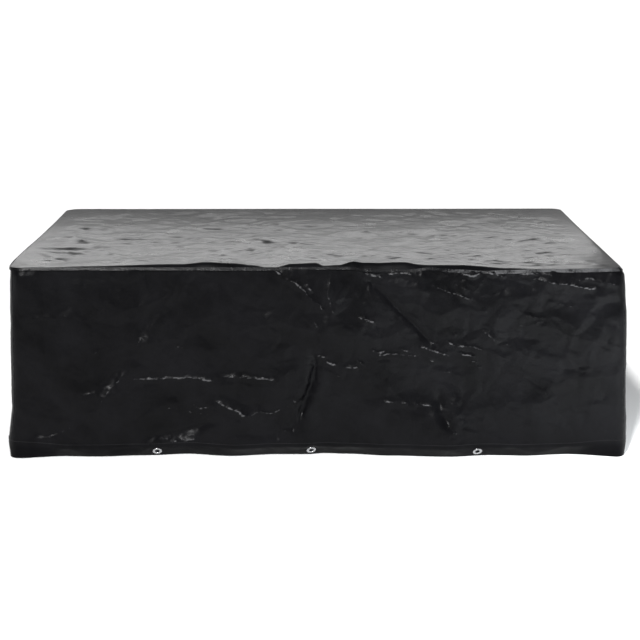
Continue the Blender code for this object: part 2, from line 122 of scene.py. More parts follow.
LAP_STITCHES = (0.5, 0.67)  # a lap's row of stitches: shares of its depth and of its standing off
LAP_FACING = (0.93, 0.36)  # the way it faces there: outwards and up
CORNER_STITCHES_BELOW = 0.012  # a corner's stitches end this far below the top's seam
RIDGE_STITCHES = 1.35  # a corner's rows of stitches, in half widths of its ridge
TAPE = 0.0026  # width of the woven tapes
CLOTH_COLOUR = (0.0015, 0.0015, 0.0018)
DUST = 2.8  # how much paler the dusty patches are
CRINKLE_RISE = 0.0022
FINE_CRINKLE_RISE = 0.0004
FOLD_CRINKLE = 1.6  # how much more a worn fold is crinkled
WEAVE_RISE = 0.00004
TWIST_RISE = 0.00015
SCRATCH_RISE = 0.00006
# pale wear on the crests of sharp creases, partly a painted highlight
WEAR_AND_HIGHLIGHT_COLOUR = (0.060, 0.060, 0.062, 1)
CLOTH_IOR = 1.18
# painted shade: the tucked hem reflects less, so it reads darker than the skirt
HEM_IOR = 1.115
TUCKED = (0.040, 0.064)  # the cloth changes to the tucked hem's darker, painted-shade look between these heights on the flat
KEY = 4.6  # strengths of the lights, and of the studio in front and behind
PANEL = 3.2
FILL = 13.0
WORLD_FRONT = 0.16
WORLD_BEHIND = 0.52
CAMERA_LENS = 83.0
CAMERA_PLACE = (-0.021, -5.638, 1.639)
CAMERA_DIP = 12.99  # degrees below level
CAMERA_TURN = -0.37  # degrees, - is to the right
FLOOR_RADIUS = 400.0
FLOOR_UNDER = 0.0002  # the floor lies this far below the cover

# How far each side stands out from its cut size at a height (metres).
Bulge = namedtuple("Bulge", "height front right back left")
BULGES = (
    Bulge(height=0.677, front=0.000, right=0.001, back=0.000, left=-0.017),
    Bulge(height=0.6755, front=0.0003, right=0.002, back=0.0003, left=-0.0168),
    Bulge(height=0.6665, front=0.0037, right=0.009, back=0.0035, left=-0.0155),
    Bulge(height=0.650, front=0.0068, right=0.018, back=0.006, left=-0.0150),
    Bulge(height=0.500, front=0.022, right=0.028, back=0.016, left=-0.014),
    Bulge(height=0.300, front=0.031, right=0.033, back=0.024, left=-0.012),
    Bulge(height=0.170, front=0.035, right=0.037, back=0.029, left=-0.008),
    Bulge(height=0.060, front=0.038, right=0.040, back=0.032, left=0.007),
    Bulge(height=0.000, front=0.038, right=0.040, back=0.032, left=0.007),
)

# The upright corners: each is where its side starts.
Corner = namedtuple("Corner", "seam_radius floor_radius")
CORNERS = {
    "front": Corner(seam_radius=0.055, floor_radius=0.042),
    "right": Corner(seam_radius=0.040, floor_radius=0.040),
    "back": Corner(seam_radius=0.042, floor_radius=0.050),
    "left": Corner(seam_radius=0.058, floor_radius=0.050),
}

# How far the hem waves out (metres) at places along each side from its middle.
HEM_WAVES = {
    "front": (
        (-0.90, 0.006), (-0.75, 0.013), (-0.60, 0.002), (-0.44, -0.014), (-0.30, 0.010),
        (-0.12, -0.006), (-0.04, -0.005), (0.04, -0.018), (0.12, -0.010), (0.28, 0.010),
        (0.48, 0.022), (0.63, 0.006), (0.75, 0.014), (0.92, -0.004),
    ),
    "right": ((-0.50, 0.008), (-0.33, -0.006), (-0.12, 0.012), (0.10, -0.010), (0.30, 0.006), (0.48, -0.006)),
    "back": (
        (-0.86, -0.008), (-0.62, 0.010), (-0.38, -0.008), (-0.14, 0.012),
        (0.10, -0.004), (0.36, 0.014), (0.60, -0.008), (0.84, 0.010),
    ),
    "left": ((-0.46, -0.006), (-0.26, 0.010), (-0.04, -0.008), (0.18, 0.012), (0.40, -0.004)),
}

# How far the hem's edge is lifted off the floor (metres).
HEM_LIFTS = {
    "front": ((-0.30, 0.0), (-0.16, 0.0030), (0.13, 0.0030), (0.24, 0.0)),
    "right": ((-0.30, 0.0), (-0.05, 0.0020), (0.20, 0.0)),
    "back": ((-0.60, 0.0), (-0.30, 0.0025), (0.00, 0.0), (0.50, 0.0020), (0.80, 0.0)),
    "left": ((-0.20, 0.0), (0.10, 0.0022), (0.40, 0.0)),
}

EYELET_COUNTS = {"front": 3, "right": 2, "back": 3, "left": 2}

Side = namedtuple("Side", "along out length across")
SIDES = {
    "front": Side(along=(1, 0), out=(0, -1), length=WIDTH, across=DEPTH),
    "right": Side(along=(0, 1), out=(1, 0), length=DEPTH, across=WIDTH),
    "back": Side(along=(-1, 0), out=(0, 1), length=WIDTH, across=DEPTH),
    "left": Side(along=(0, -1), out=(-1, 0), length=DEPTH, across=WIDTH),
}
SIDE_NAMES = tuple(SIDES)

# ---- Fine grids -----------------------------------------------------------------------------------

SKIRT_CELL = {"front": 0.0038, "right": 0.0052, "back": 0.0052, "left": 0.0052}
TOP_CELL = 0.0054
HEM_CELL = 0.0042
LAP_CELL = 0.0030
EYELET_SEGMENTS = 64
EYELET_FLAT_STEP = 0.001  # between an eyelet's rings on the flat
CORNER_GAIN = 0.06  # what the leaning corners add to a side's length, for its number of cells
SKIRT_DROP = 0.615
# Spacings and heights of the crumple, from facets a hand wide down to facets a finger wide.
CRUMPLE_SPACINGS = (0.170, 0.085, 0.042, 0.021)
UNSEEN_CRUMPLE = (0.0030, 0.0015, 0.0007, 0.0003)
CRUMPLE = {
    "top": (0.0052, 0.0022, 0.0009, 0.0003),
    "front": (0.0055, 0.0034, 0.0015, 0.0005),
    "right": UNSEEN_CRUMPLE,
    "back": UNSEEN_CRUMPLE,
    "left": UNSEEN_CRUMPLE,
}
TOP_STRETCH = (0.7, 1.1)  # the top's crumple is drawn out along its length

# Small creases strewn over each panel.
Strewn = namedtuple("Strewn", "count longest rise width turn broken")
UNSEEN_STREWN = Strewn(count=46, longest=0.26, rise=0.0020, width=0.006, turn=0.8, broken=0.8)
STREWN = {
    "top": Strewn(count=520, longest=0.44, rise=0.0022, width=0.0135, turn=0.90, broken=0.15),
    "front": Strewn(count=120, longest=0.16, rise=0.0014, width=0.005, turn=0.6, broken=0.7),
    "right": UNSEEN_STREWN,
    "back": UNSEEN_STREWN._replace(count=80),
    "left": UNSEEN_STREWN,
}

STREWN_LOW = 0.05  # on the sides, none has its middle below this height

# ---- The creases that are placed one by one ---------------------------------------------------------

# A crease follows a line of points: on a side (along from the middle, height above the floor), on the
# top (x, y) from its middle. rise is how far it stands out, left and right are how fast
# it falls away on each side of the line's direction, and broken breaks it into short stretches.
Crease = namedtuple("Crease", "rise left right line broken", defaults=(0.0,))
SHARP_SIDE = 0.0125  # a crease is sharp where one side is as narrow as this, or both as SHARP_SIDES
SHARP_SIDES = 0.015
SHARP_REACH = 4.5
SOFT_REACH = 3
CREST_ROUNDING = 0.05
CREST_LIFT = 0.22
HOLLOW = 0.45  # the hollow on the right of a raised sharp crease: its depth, place and width
HOLLOW_PLACE = 1.7
HOLLOW_WIDTH = 1.1
SHARP_TAPER = 0.02
LONGEST_TAPER = 0.35
SOFT_TAPER = 0.30
SHORT_CREASE = 0.16
SHORT_BEAD = 0.016  # spacing of the stretches that a short or a long crease is broken into
LONG_BEAD = 0.034
STRAYS = ((0.0035, 0.030), (0.0015, 0.012))  # how far creases stray, and at what spacing
WEAR_HIGHLIGHT_WIDTH = 0.0030  # width of the worn line with painted highlight along a sharp crease, and of the faint band around it
WEAR_HIGHLIGHT_BAND = 0.010
WEAR_HIGHLIGHT_SPACING = 0.0075
WEAR_HIGHLIGHT_RISE = 0.0030  # creases as high as this get the full wear and painted highlight

# One row is rise, left, right and line, and broken where it isn't 0.
CREASES = {
    "front": (
        # the long soft fold that falls to the left
        (0.0055, 0.05, 0.04, ((-0.49, 0.6), (-0.53, 0.5), (-0.63, 0.32), (-0.71, 0.23), (-0.81, 0.14))),
        (-0.0039, 0.04, 0.05, ((-0.44, 0.56), (-0.56, 0.34), (-0.66, 0.2))),
        (-0.005, 0.016, 0.018, ((-0.505, 0.6), (-0.555, 0.51), (-0.61, 0.405), (-0.64, 0.35))),
        (-0.0048, 0.015, 0.02, ((-0.64, 0.36), (-0.685, 0.3), (-0.75, 0.205), (-0.83, 0.155))),
        (-0.005, 0.014, 0.02, ((-0.86, 0.11), (-0.93, 0.085), (-1.0, 0.1))),
        (0.0017, 0.006, 0.012, ((-0.5, 0.595), (-0.52, 0.56), (-0.545, 0.515), (-0.569, 0.485)), 0.6),
        (0.0015, 0.006, 0.014, ((-0.575, 0.47), (-0.6, 0.42), (-0.626, 0.365), (-0.66, 0.315)), 0.7),
        (0.0022, 0.006, 0.014, ((-0.655, 0.31), (-0.711, 0.244), (-0.752, 0.175), (-0.813, 0.146)), 0.6),
        (0.0012, 0.007, 0.012, ((-0.8, 0.14), (-0.927, 0.074), (-0.98, 0.07)), 0.5),
        # the flat storage crease across the left half
        (0.0016, 0.034, 0.034, ((-0.62, 0.28), (-0.41, 0.29), (-0.12, 0.28))),
        (0.0036, 0.0045, 0.009, (
            (-0.635, 0.283), (-0.59, 0.285), (-0.53, 0.288), (-0.46, 0.291), (-0.4, 0.29), (-0.335, 0.281),
        ), 0.25),
        (0.0026, 0.0045, 0.01, ((-0.31, 0.297), (-0.23, 0.29), (-0.165, 0.291), (-0.125, 0.281)), 0.2),
        (-0.0028, 0.03, 0.035, ((-0.6, 0.235), (-0.36, 0.24), (-0.14, 0.235))),
        # the short fold that dives towards the middle
        (0.002, 0.026, 0.022, ((-0.34, 0.205), (-0.24, 0.15), (-0.11, 0.165))),
        (0.0034, 0.005, 0.012, ((-0.338, 0.212), (-0.298, 0.187), (-0.232, 0.163)), 0.1),
        (0.0075, 0.008, 0.012, ((-0.266, 0.174), (-0.242, 0.16), (-0.216, 0.155))),
        (0.0025, 0.0045, 0.009, ((-0.225, 0.156), (-0.185, 0.168), (-0.149, 0.16), (-0.1, 0.18)), 0.4),
        (0.0017, 0.005, 0.01, ((-0.52, 0.186), (-0.482, 0.179), (-0.412, 0.164), (-0.34, 0.16)), 0.4),
        (0.0022, 0.0045, 0.009, ((-0.43, 0.195), (-0.398, 0.178), (-0.36, 0.182), (-0.335, 0.186)), 0.3),
        (0.0015, 0.005, 0.008, ((-0.2, 0.19), (-0.185, 0.165), (-0.172, 0.15)), 0.2),
        (0.0015, 0.005, 0.009, ((-0.225, 0.13), (-0.215, 0.112), (-0.2, 0.105)), 0.2),
        # the soft fold above the left eyelet, and the crinkles over its hem
        (0.0016, 0.034, 0.034, ((-0.6, 0.075), (-0.5, 0.085), (-0.38, 0.11), (-0.28, 0.15))),
        (-0.008, 0.015, 0.018, (
            (-0.64, 0.078), (-0.56, 0.08), (-0.47, 0.087), (-0.4, 0.11), (-0.34, 0.138), (-0.28, 0.16),
        )),
        (-0.003, 0.004, 0.01, ((-0.54, 0.08), (-0.47, 0.087), (-0.4, 0.11), (-0.345, 0.136))),
        (0.003, 0.0045, 0.008, ((-0.535, 0.074), (-0.515, 0.066), (-0.5, 0.072), (-0.485, 0.064)), 0.5),
        (0.0034, 0.0045, 0.008, ((-0.505, 0.064), (-0.49, 0.056), (-0.47, 0.06)), 0.2),
        (0.0034, 0.0045, 0.008, ((-0.472, 0.068), (-0.445, 0.062), (-0.42, 0.066), (-0.4, 0.064)), 0.2),
        # the upright fold near the middle, and the pocket beside it
        (0.0055, 0.02, 0.045, ((0.005, 0.4), (0.03, 0.34), (0.03, 0.27), (0.0, 0.2), (-0.025, 0.09))),
        (-0.017, 0.02, 0.017, ((0.0, 0.42), (0.012, 0.33), (0.0, 0.26), (-0.034, 0.19), (-0.056, 0.07))),
        (-0.005, 0.004, 0.014, ((-0.004, 0.39), (0.01, 0.34), (0.006, 0.28), (-0.02, 0.22), (-0.034, 0.15))),
        (-0.005, 0.004, 0.012, ((-0.04, 0.22), (-0.066, 0.16), (-0.066, 0.085))),
        (-0.004, 0.004, 0.01, ((-0.085, 0.19), (-0.078, 0.14), (-0.068, 0.095))),
        (-0.0036, 0.006, 0.012, ((-0.128, 0.17), (-0.118, 0.12), (-0.122, 0.06))),
        (0.0019, 0.0045, 0.008, ((-0.12, 0.105), (-0.09, 0.098), (-0.06, 0.102)), 0.3),
        (0.0031, 0.005, 0.008, ((-0.072, 0.206), (-0.058, 0.198))),
        # bright puckers under the seam, right of the middle
        (0.0052, 0.006, 0.012, ((0.175, 0.655), (0.2, 0.648), (0.225, 0.645), (0.245, 0.64)), 0.1),
        (0.003, 0.0045, 0.008, ((0.255, 0.65), (0.3, 0.655), (0.35, 0.652)), 0.4),
        (0.0034, 0.0045, 0.008, ((0.505, 0.652), (0.545, 0.646), (0.59, 0.656)), 0.3),
        (0.0034, 0.0045, 0.008, ((0.585, 0.657), (0.63, 0.65), (0.67, 0.642)), 0.3),
        (0.003, 0.0045, 0.008, ((0.66, 0.662), (0.72, 0.652), (0.78, 0.655), (0.84, 0.646)), 0.5),
        # the long diagonal that falls from the seam to the right
        (-0.0052, 0.013, 0.016, ((0.18, 0.65), (0.225, 0.6), (0.271, 0.556), (0.407, 0.421), (0.45, 0.385))),
        (-0.005, 0.004, 0.01, ((0.19, 0.64), (0.225, 0.6), (0.271, 0.556), (0.407, 0.421), (0.44, 0.395))),
        (0.0039, 0.04, 0.032, ((0.18, 0.63), (0.32, 0.5), (0.38, 0.42))),
        (0.0025, 0.005, 0.01, ((0.155, 0.7), (0.185, 0.678), (0.215, 0.668), (0.245, 0.655)), 0.4),
        (0.0019, 0.005, 0.01, ((0.165, 0.672), (0.205, 0.66), (0.26, 0.655)), 0.3),
        # the creases that fan from the seam left of the middle
        (0.0033, 0.026, 0.03, ((-0.14, 0.67), (-0.06, 0.61), (0.05, 0.52))),
        (0.0044, 0.005, 0.01, ((-0.142, 0.672), (-0.125, 0.66), (-0.105, 0.645)), 0.1),
        (0.0036, 0.005, 0.01, (
            (-0.1, 0.642), (-0.063, 0.628), (-0.022, 0.59), (0.005, 0.56), (0.047, 0.52),
        ), 0.4),
        (0.0032, 0.005, 0.008, ((-0.028, 0.618), (-0.01, 0.6), (0.008, 0.585)), 0.2),
        (0.006, 0.06, 0.018, ((0.085, 0.66), (0.055, 0.54), (0.01, 0.39))),
        (-0.0045, 0.014, 0.016, ((0.062, 0.6), (0.04, 0.5), (-0.005, 0.4))),
        (0.0014, 0.005, 0.01, ((0.0, 0.5), (0.03, 0.42), (0.01, 0.37)), 0.3),
        (0.0015, 0.006, 0.012, ((0.06, 0.66), (0.055, 0.58), (0.075, 0.5)), 0.5),
        (0.002, 0.005, 0.008, ((0.055, 0.512), (0.1, 0.506), (0.12, 0.508)), 0.8),
        (0.0029, 0.0045, 0.012, ((0.15, 0.507), (0.188, 0.496), (0.225, 0.48)), 0.2),
        (0.0016, 0.005, 0.01, ((0.17, 0.49), (0.215, 0.489)), 0.2),
        # the row that runs right from the upright fold
        (0.003, 0.0045, 0.01, ((0.005, 0.372), (0.035, 0.364), (0.05, 0.36)), 0.3),
        (0.003, 0.0045, 0.01, ((0.04, 0.352), (0.07, 0.34), (0.09, 0.334))),
        (0.0029, 0.005, 0.012, ((0.1, 0.33), (0.135, 0.327), (0.17, 0.327)), 0.2),
        (0.0026, 0.0045, 0.01, ((0.148, 0.354), (0.17, 0.343), (0.185, 0.33)), 0.1),
        (0.0019, 0.006, 0.01, ((0.04, 0.325), (0.075, 0.3), (0.11, 0.285)), 0.3),
        (-0.0025, 0.01, 0.014, ((0.05, 0.245), (0.14, 0.225), (0.24, 0.212))),
        (0.0022, 0.004, 0.012, ((0.238, 0.203), (0.3, 0.204), (0.338, 0.2))),
        (0.0022, 0.004, 0.012, ((0.342, 0.2), (0.385, 0.193), (0.425, 0.191))),
        # the knot of short creases right of the middle
        (0.0039, 0.03, 0.03, ((0.22, 0.385), (0.38, 0.385), (0.47, 0.375), (0.59, 0.37))),
        (0.0028, 0.0045, 0.009, ((0.195, 0.392), (0.235, 0.38), (0.262, 0.384)), 0.2),
        (0.0026, 0.0045, 0.009, ((0.215, 0.374), (0.255, 0.37), (0.3, 0.374), (0.35, 0.366)), 0.5),
        (0.0021, 0.0045, 0.009, ((0.29, 0.396), (0.325, 0.386), (0.345, 0.388)), 0.4),
        (0.0031, 0.0045, 0.012, ((0.365, 0.4), (0.405, 0.392), (0.44, 0.38), (0.48, 0.362)), 0.2),
        (0.0029, 0.0045, 0.01, ((0.318, 0.372), (0.345, 0.37), (0.375, 0.368)), 0.3),
        (0.0025, 0.0045, 0.01, ((0.385, 0.366), (0.41, 0.352), (0.435, 0.34)), 0.5),
        (0.0027, 0.0045, 0.01, ((0.41, 0.412), (0.44, 0.406)), 0.2),
        (0.0029, 0.0045, 0.01, (
            (0.455, 0.42), (0.49, 0.405), (0.52, 0.404), (0.56, 0.398), (0.605, 0.38),
        ), 0.5),
        (0.0032, 0.0045, 0.012, ((0.5, 0.384), (0.525, 0.374), (0.57, 0.366)), 0.1),
        (0.0029, 0.0045, 0.01, ((0.545, 0.35), (0.575, 0.341)), 0.1),
        (0.0022, 0.005, 0.009, ((0.56, 0.33), (0.59, 0.322)), 0.3),
        (0.0019, 0.005, 0.01, ((0.44, 0.312), (0.49, 0.304), (0.53, 0.29)), 0.5),
        (-0.0033, 0.026, 0.024, ((0.4, 0.345), (0.5, 0.335), (0.58, 0.32))),
        # the soft bump between two upright folds over the right eyelet
        (-0.007, 0.02, 0.015, ((0.44, 0.27), (0.442, 0.21), (0.452, 0.16), (0.487, 0.1))),
        (-0.0035, 0.009, 0.011, ((0.442, 0.255), (0.445, 0.2), (0.457, 0.155), (0.488, 0.105))),
        (0.005, 0.024, 0.024, ((0.495, 0.24), (0.5, 0.16), (0.515, 0.09))),
        (-0.005, 0.022, 0.016, ((0.53, 0.29), (0.525, 0.18), (0.54, 0.08))),
        (0.0017, 0.006, 0.01, ((0.485, 0.1), (0.505, 0.09))),
        # the fold that bends down at the right of the knot
        (0.0026, 0.016, 0.03, ((0.58, 0.452), (0.612, 0.445), (0.636, 0.42), (0.645, 0.38), (0.64, 0.3))),
        (0.0022, 0.006, 0.01, ((0.575, 0.456), (0.606, 0.446), (0.63, 0.424), (0.636, 0.404)), 0.4),
        (0.0017, 0.006, 0.01, ((0.637, 0.448), (0.702, 0.45), (0.773, 0.43)), 0.6),
        (0.0014, 0.006, 0.01, ((0.65, 0.408), (0.71, 0.405)), 0.5),
        # creases under the seam at the right
        (0.0033, 0.026, 0.034, ((0.72, 0.64), (0.86, 0.62), (0.99, 0.59))),
        (0.0025, 0.0045, 0.012, ((0.745, 0.64), (0.8, 0.628), (0.85, 0.618)), 0.3),
        (0.0027, 0.0045, 0.012, ((0.84, 0.622), (0.9, 0.612), (0.99, 0.598)), 0.2),
        (0.0019, 0.0045, 0.01, ((0.905, 0.628), (0.962, 0.636), (1.01, 0.622)), 0.4),
        (0.0019, 0.0045, 0.01, ((0.93, 0.64), (1.0, 0.622), (1.07, 0.616)), 0.3),
        (0.0016, 0.005, 0.01, ((0.8, 0.562), (0.85, 0.548), (0.911, 0.535)), 0.7),
        (0.0015, 0.006, 0.01, ((0.97, 0.585), (1.0, 0.572)), 0.2),
        (-0.0031, 0.012, 0.012, ((0.62, 0.655), (0.7, 0.625), (0.78, 0.6))),
        (0.0026, 0.005, 0.014, ((0.405, 0.618), (0.445, 0.6), (0.5, 0.58), (0.56, 0.566)), 0.3),
        (0.0018, 0.005, 0.012, ((0.5, 0.606), (0.545, 0.596)), 0.3),
        (0.0028, 0.016, 0.026, ((0.22, 0.62), (0.36, 0.6), (0.46, 0.585), (0.49, 0.55), (0.5, 0.48))),
        (0.0014, 0.005, 0.01, ((0.72, 0.51), (0.79, 0.5), (0.86, 0.505)), 0.5),
        (0.0014, 0.005, 0.01, ((0.7, 0.48), (0.75, 0.465)), 0.5),
        (0.0044, 0.04, 0.034, ((0.56, 0.16), (0.72, 0.18), (0.87, 0.22))),
        (0.0012, 0.006, 0.012, ((0.66, 0.205), (0.78, 0.2), (0.88, 0.23)), 0.5),
        (-0.0033, 0.03, 0.03, ((0.64, 0.45), (0.77, 0.42), (0.92, 0.33))),
        (0.0022, 0.016, 0.03, ((0.92, 0.18), (1.0, 0.19), (1.06, 0.2))),
        # small marks under the seam at the left
        (0.0014, 0.006, 0.01, ((-0.72, 0.56), (-0.68, 0.545))),
        (0.0015, 0.005, 0.01, ((-0.5, 0.425), (-0.45, 0.428)), 0.4),
        (0.0019, 0.005, 0.009, ((-0.475, 0.398), (-0.445, 0.394)), 0.2),
        # the two wide soft hollows of the left and right halves
        (-0.0039, 0.13, 0.13, ((-0.85, 0.45), (-0.2, 0.42))),
        (-0.0033, 0.12, 0.12, ((0.2, 0.25), (0.85, 0.32))),
    ),
    "right": (
        (0.01, 0.045, 0.035, ((-0.52, 0.62), (-0.36, 0.44), (-0.24, 0.22))),
        (0.0022, 0.006, 0.012, (
            (-0.5, 0.6), (-0.44, 0.51), (-0.36, 0.45), (-0.33, 0.36), (-0.27, 0.29),
        ), 0.6),
        (-0.01, 0.03, 0.04, ((-0.1, 0.66), (-0.02, 0.4), (-0.06, 0.12))),
        (0.0024, 0.006, 0.012, ((-0.36, 0.305), (-0.25, 0.292), (-0.14, 0.301), (-0.05, 0.288)), 0.6),
        (0.0019, 0.006, 0.012, ((0.03, 0.297), (0.16, 0.286), (0.33, 0.299)), 0.7),
        (0.008, 0.032, 0.032, ((-0.3, 0.3), (0.02, 0.33), (0.34, 0.29))),
        (0.009, 0.042, 0.03, ((0.16, 0.52), (0.3, 0.36), (0.36, 0.1))),
        (0.0018, 0.006, 0.012, ((0.14, 0.56), (0.2, 0.48), (0.27, 0.41), (0.3, 0.31), (0.33, 0.2)), 0.7),
        (-0.008, 0.035, 0.035, ((0.46, 0.62), (0.4, 0.4))),
        (0.0024, 0.006, 0.01, ((-0.22, 0.182), (-0.15, 0.152), (-0.09, 0.158), (-0.01, 0.128)), 0.5),
        (0.002, 0.006, 0.01, ((0.05, 0.448), (0.13, 0.422), (0.2, 0.426)), 0.6),
        (0.002, 0.006, 0.01, ((-0.56, 0.36), (-0.44, 0.34)), 0.5),
    ),
    "back": (
        (0.01, 0.046, 0.036, ((-0.88, 0.62), (-0.7, 0.4), (-0.62, 0.12))),
        (0.0022, 0.006, 0.012, (
            (-0.86, 0.58), (-0.79, 0.51), (-0.71, 0.42), (-0.69, 0.33), (-0.66, 0.26),
        ), 0.6),
        (-0.009, 0.03, 0.04, ((-0.48, 0.66), (-0.4, 0.42), (-0.44, 0.16))),
        (0.007, 0.034, 0.034, ((-0.7, 0.33), (-0.2, 0.35), (0.3, 0.32), (0.74, 0.34))),
        (0.0024, 0.006, 0.012, ((-0.74, 0.302), (-0.58, 0.288), (-0.42, 0.301), (-0.22, 0.291)), 0.6),
        (0.002, 0.006, 0.012, ((0.06, 0.297), (0.22, 0.304), (0.4, 0.289), (0.62, 0.299)), 0.7),
        (0.01, 0.042, 0.034, ((-0.12, 0.62), (0.04, 0.44), (0.1, 0.2))),
        (0.002, 0.006, 0.012, ((-0.1, 0.6), (-0.03, 0.54), (0.03, 0.46), (0.04, 0.38), (0.07, 0.32)), 0.6),
        (-0.008, 0.022, 0.03, ((0.02, 0.3), (-0.01, 0.09))),
        (0.01, 0.044, 0.034, ((0.44, 0.64), (0.38, 0.4), (0.46, 0.12))),
        (-0.009, 0.032, 0.04, ((0.66, 0.56), (0.82, 0.3))),
        (0.0024, 0.006, 0.01, ((-0.3, 0.182), (-0.23, 0.152), (-0.16, 0.16), (-0.09, 0.132)), 0.5),
        (0.004, 0.006, 0.01, ((0.52, 0.42), (0.62, 0.4), (0.72, 0.41)), 0.35),
        (0.0036, 0.006, 0.01, ((0.5, 0.38), (0.6, 0.37), (0.68, 0.35)), 0.35),
        (0.0036, 0.006, 0.01, ((-0.96, 0.3), (-0.86, 0.27)), 0.4),
    ),
    "left": (
        (0.009, 0.042, 0.034, ((-0.46, 0.62), (-0.38, 0.36), (-0.42, 0.12))),
        (-0.009, 0.03, 0.04, ((-0.2, 0.65), (-0.12, 0.42), (-0.18, 0.16))),
        (0.008, 0.034, 0.034, ((-0.34, 0.31), (0.04, 0.34), (0.36, 0.3))),
        (0.0024, 0.006, 0.012, ((-0.37, 0.304), (-0.24, 0.291), (-0.08, 0.303), (0.02, 0.293)), 0.6),
        (0.0018, 0.006, 0.012, ((0.13, 0.299), (0.26, 0.29), (0.38, 0.298)), 0.7),
        (0.009, 0.042, 0.034, ((0.12, 0.6), (0.22, 0.34), (0.18, 0.1))),
        (0.002, 0.006, 0.012, ((0.12, 0.6), (0.16, 0.52), (0.19, 0.43), (0.205, 0.36), (0.21, 0.31)), 0.6),
        (-0.008, 0.036, 0.036, ((0.44, 0.58), (0.36, 0.26))),
        (0.0024, 0.006, 0.01, ((-0.11, 0.202), (-0.05, 0.172), (0.01, 0.18), (0.09, 0.148)), 0.5),
        (0.0036, 0.006, 0.01, ((-0.4, 0.46), (-0.3, 0.44)), 0.3),
    ),
    "top": (
        (0.0036, 0.04, 0.04, ((-0.99, 0.25), (-0.91, 0.16), (-0.77, 0.2))),
        (0.0028, 0.013, 0.024, ((-0.99, 0.256), (-0.906, 0.157), (-0.839, 0.157), (-0.765, 0.205))),
        (0.0036, 0.035, 0.035, ((-0.94, 0.0), (-0.85, -0.16))),
        (0.0033, 0.013, 0.024, ((-0.936, -0.007), (-0.847, -0.164))),
        (0.003, 0.013, 0.024, ((-1.047, -0.075), (-0.944, -0.03), (-0.9, -0.02))),
        (-0.0036, 0.03, 0.045, ((0.234, 0.248), (0.397, -0.016))),
        (0.003, 0.013, 0.024, ((0.234, 0.248), (0.397, -0.016), (0.46, -0.05))),
        (-0.0036, 0.03, 0.04, ((0.586, 0.562), (0.725, 0.296))),
        (0.0026, 0.013, 0.024, ((0.586, 0.562), (0.725, 0.296))),
        (-0.003, 0.04, 0.045, ((0.893, 0.478), (1.013, -0.5))),
        (0.003, 0.05, 0.05, ((-0.6, 0.3), (-0.2, 0.2), (0.2, 0.42))),
        (0.003, 0.05, 0.05, ((-0.55, -0.3), (-0.1, -0.24), (0.45, -0.36))),
        (0.0023, 0.013, 0.024, ((-0.928, -0.604), (-0.6, -0.585), (-0.393, -0.57), (-0.238, -0.59))),
        (0.0023, 0.013, 0.024, ((-0.074, -0.591), (0.034, -0.592), (0.122, -0.517))),
        (0.0023, 0.013, 0.024, ((0.121, -0.574), (0.408, -0.613))),
        (-0.0036, 0.035, 0.035, ((-0.92, -0.6), (-0.39, -0.585), (0.12, -0.585), (0.66, -0.6))),
        (-0.007, 0.05, 0.04, ((-0.62, 0.64), (-0.35, 0.4), (-0.05, 0.25), (0.15, 0.2))),
        (0.0021, 0.013, 0.024, ((0.4, -0.02), (0.62, 0.02), (0.83, 0.0))),
        (0.0026, 0.013, 0.024, ((0.88, 0.19), (1.02, 0.0))),
        (0.0026, 0.013, 0.024, ((0.83, 0.0), (0.94, -0.2))),
        (0.0026, 0.013, 0.024, ((0.81, -0.47), (0.88, -0.27), (0.945, -0.23))),
        (0.0021, 0.013, 0.024, ((-0.28, -0.09), (-0.134, 0.02))),
        (0.0019, 0.013, 0.024, ((-0.65, -0.14), (-0.59, -0.07))),
    ),
}

# How far the seam around the top sinks below its height, along each side.
SEAM_DROPS = {
    "front": (
        (-1.06, 0.005), (-0.96, 0.001), (-0.20, 0.002), (0.13, 0.000), (0.18, 0.006), (0.24, 0.009),
        (0.34, 0.009), (0.40, 0.002), (0.50, 0.010), (0.60, 0.015), (0.68, 0.013), (0.80, 0.009),
        (1.06, 0.007),
    ),
    "right": ((-0.64, 0.007), (-0.20, 0.0055), (0.20, 0.0050), (0.64, 0.001)),
    "back": ((-1.04, 0.001), (-0.3, 0.0015), (0.1, 0.001), (0.8, 0.0015), (1.04, 0.001)),
    "left": ((-0.64, 0.001), (-0.30, 0.004), (0.00, 0.004), (0.36, 0.000), (0.54, 0.000), (0.65, 0.005)),
}
# How far the top sheet puffs up behind its seam, along each side.
SEAM_PUFFS = {
    "front": (
        (-0.95, 0.000), (-0.76, 0.003), (-0.45, 0.010), (-0.36, 0.017), (-0.27, 0.013), (-0.20, 0.006),
        (-0.16, 0.001), (-0.12, 0.001), (-0.07, 0.010), (0.01, 0.012), (0.04, 0.003), (0.09, 0.005),
        (0.146, 0.018), (0.31, 0.022), (0.40, 0.006), (0.50, 0.013), (0.57, 0.013), (0.67, 0.006),
        (0.77, 0.001),
    ),
    "right": ((-0.50, 0.000), (-0.28, 0.003), (-0.05, 0.001), (0.22, 0.003), (0.50, 0.000)),
    "back": ((-0.9, 0.0), (-0.5, 0.002), (-0.1, 0.001), (0.3, 0.002), (0.7, 0.001), (0.9, 0.0)),
    "left": ((-0.50, 0.000), (-0.20, 0.003), (0.05, 0.001), (0.30, 0.003), (0.50, 0.000)),
}
ROLL = 0.016  # how far in from the rim the top sheet has risen to its full puff
PUFF_REACH = 0.17  # how far in the puff has sunk back
SAG = 0.014  # how far the middle of the top sheet hangs below its rim

# ---- Small numeric helpers --------------------------------------------------------------------------

LATTICE = 256  # cells before the random heights repeat
LATTICE_PLACE = (37.3, 61.7)  # the cell at a panel's zero point
FACET_TURN = 1.17  # radians from one seed to the next
FACET_WARP = 0.55  # how far facets are bent out of line, in facets
FACET_WARP_SPACING = 1.4


def soft_step(share):
    share = np.clip(share, 0.0, 1.0)
    return share * share * (3 - 2 * share)


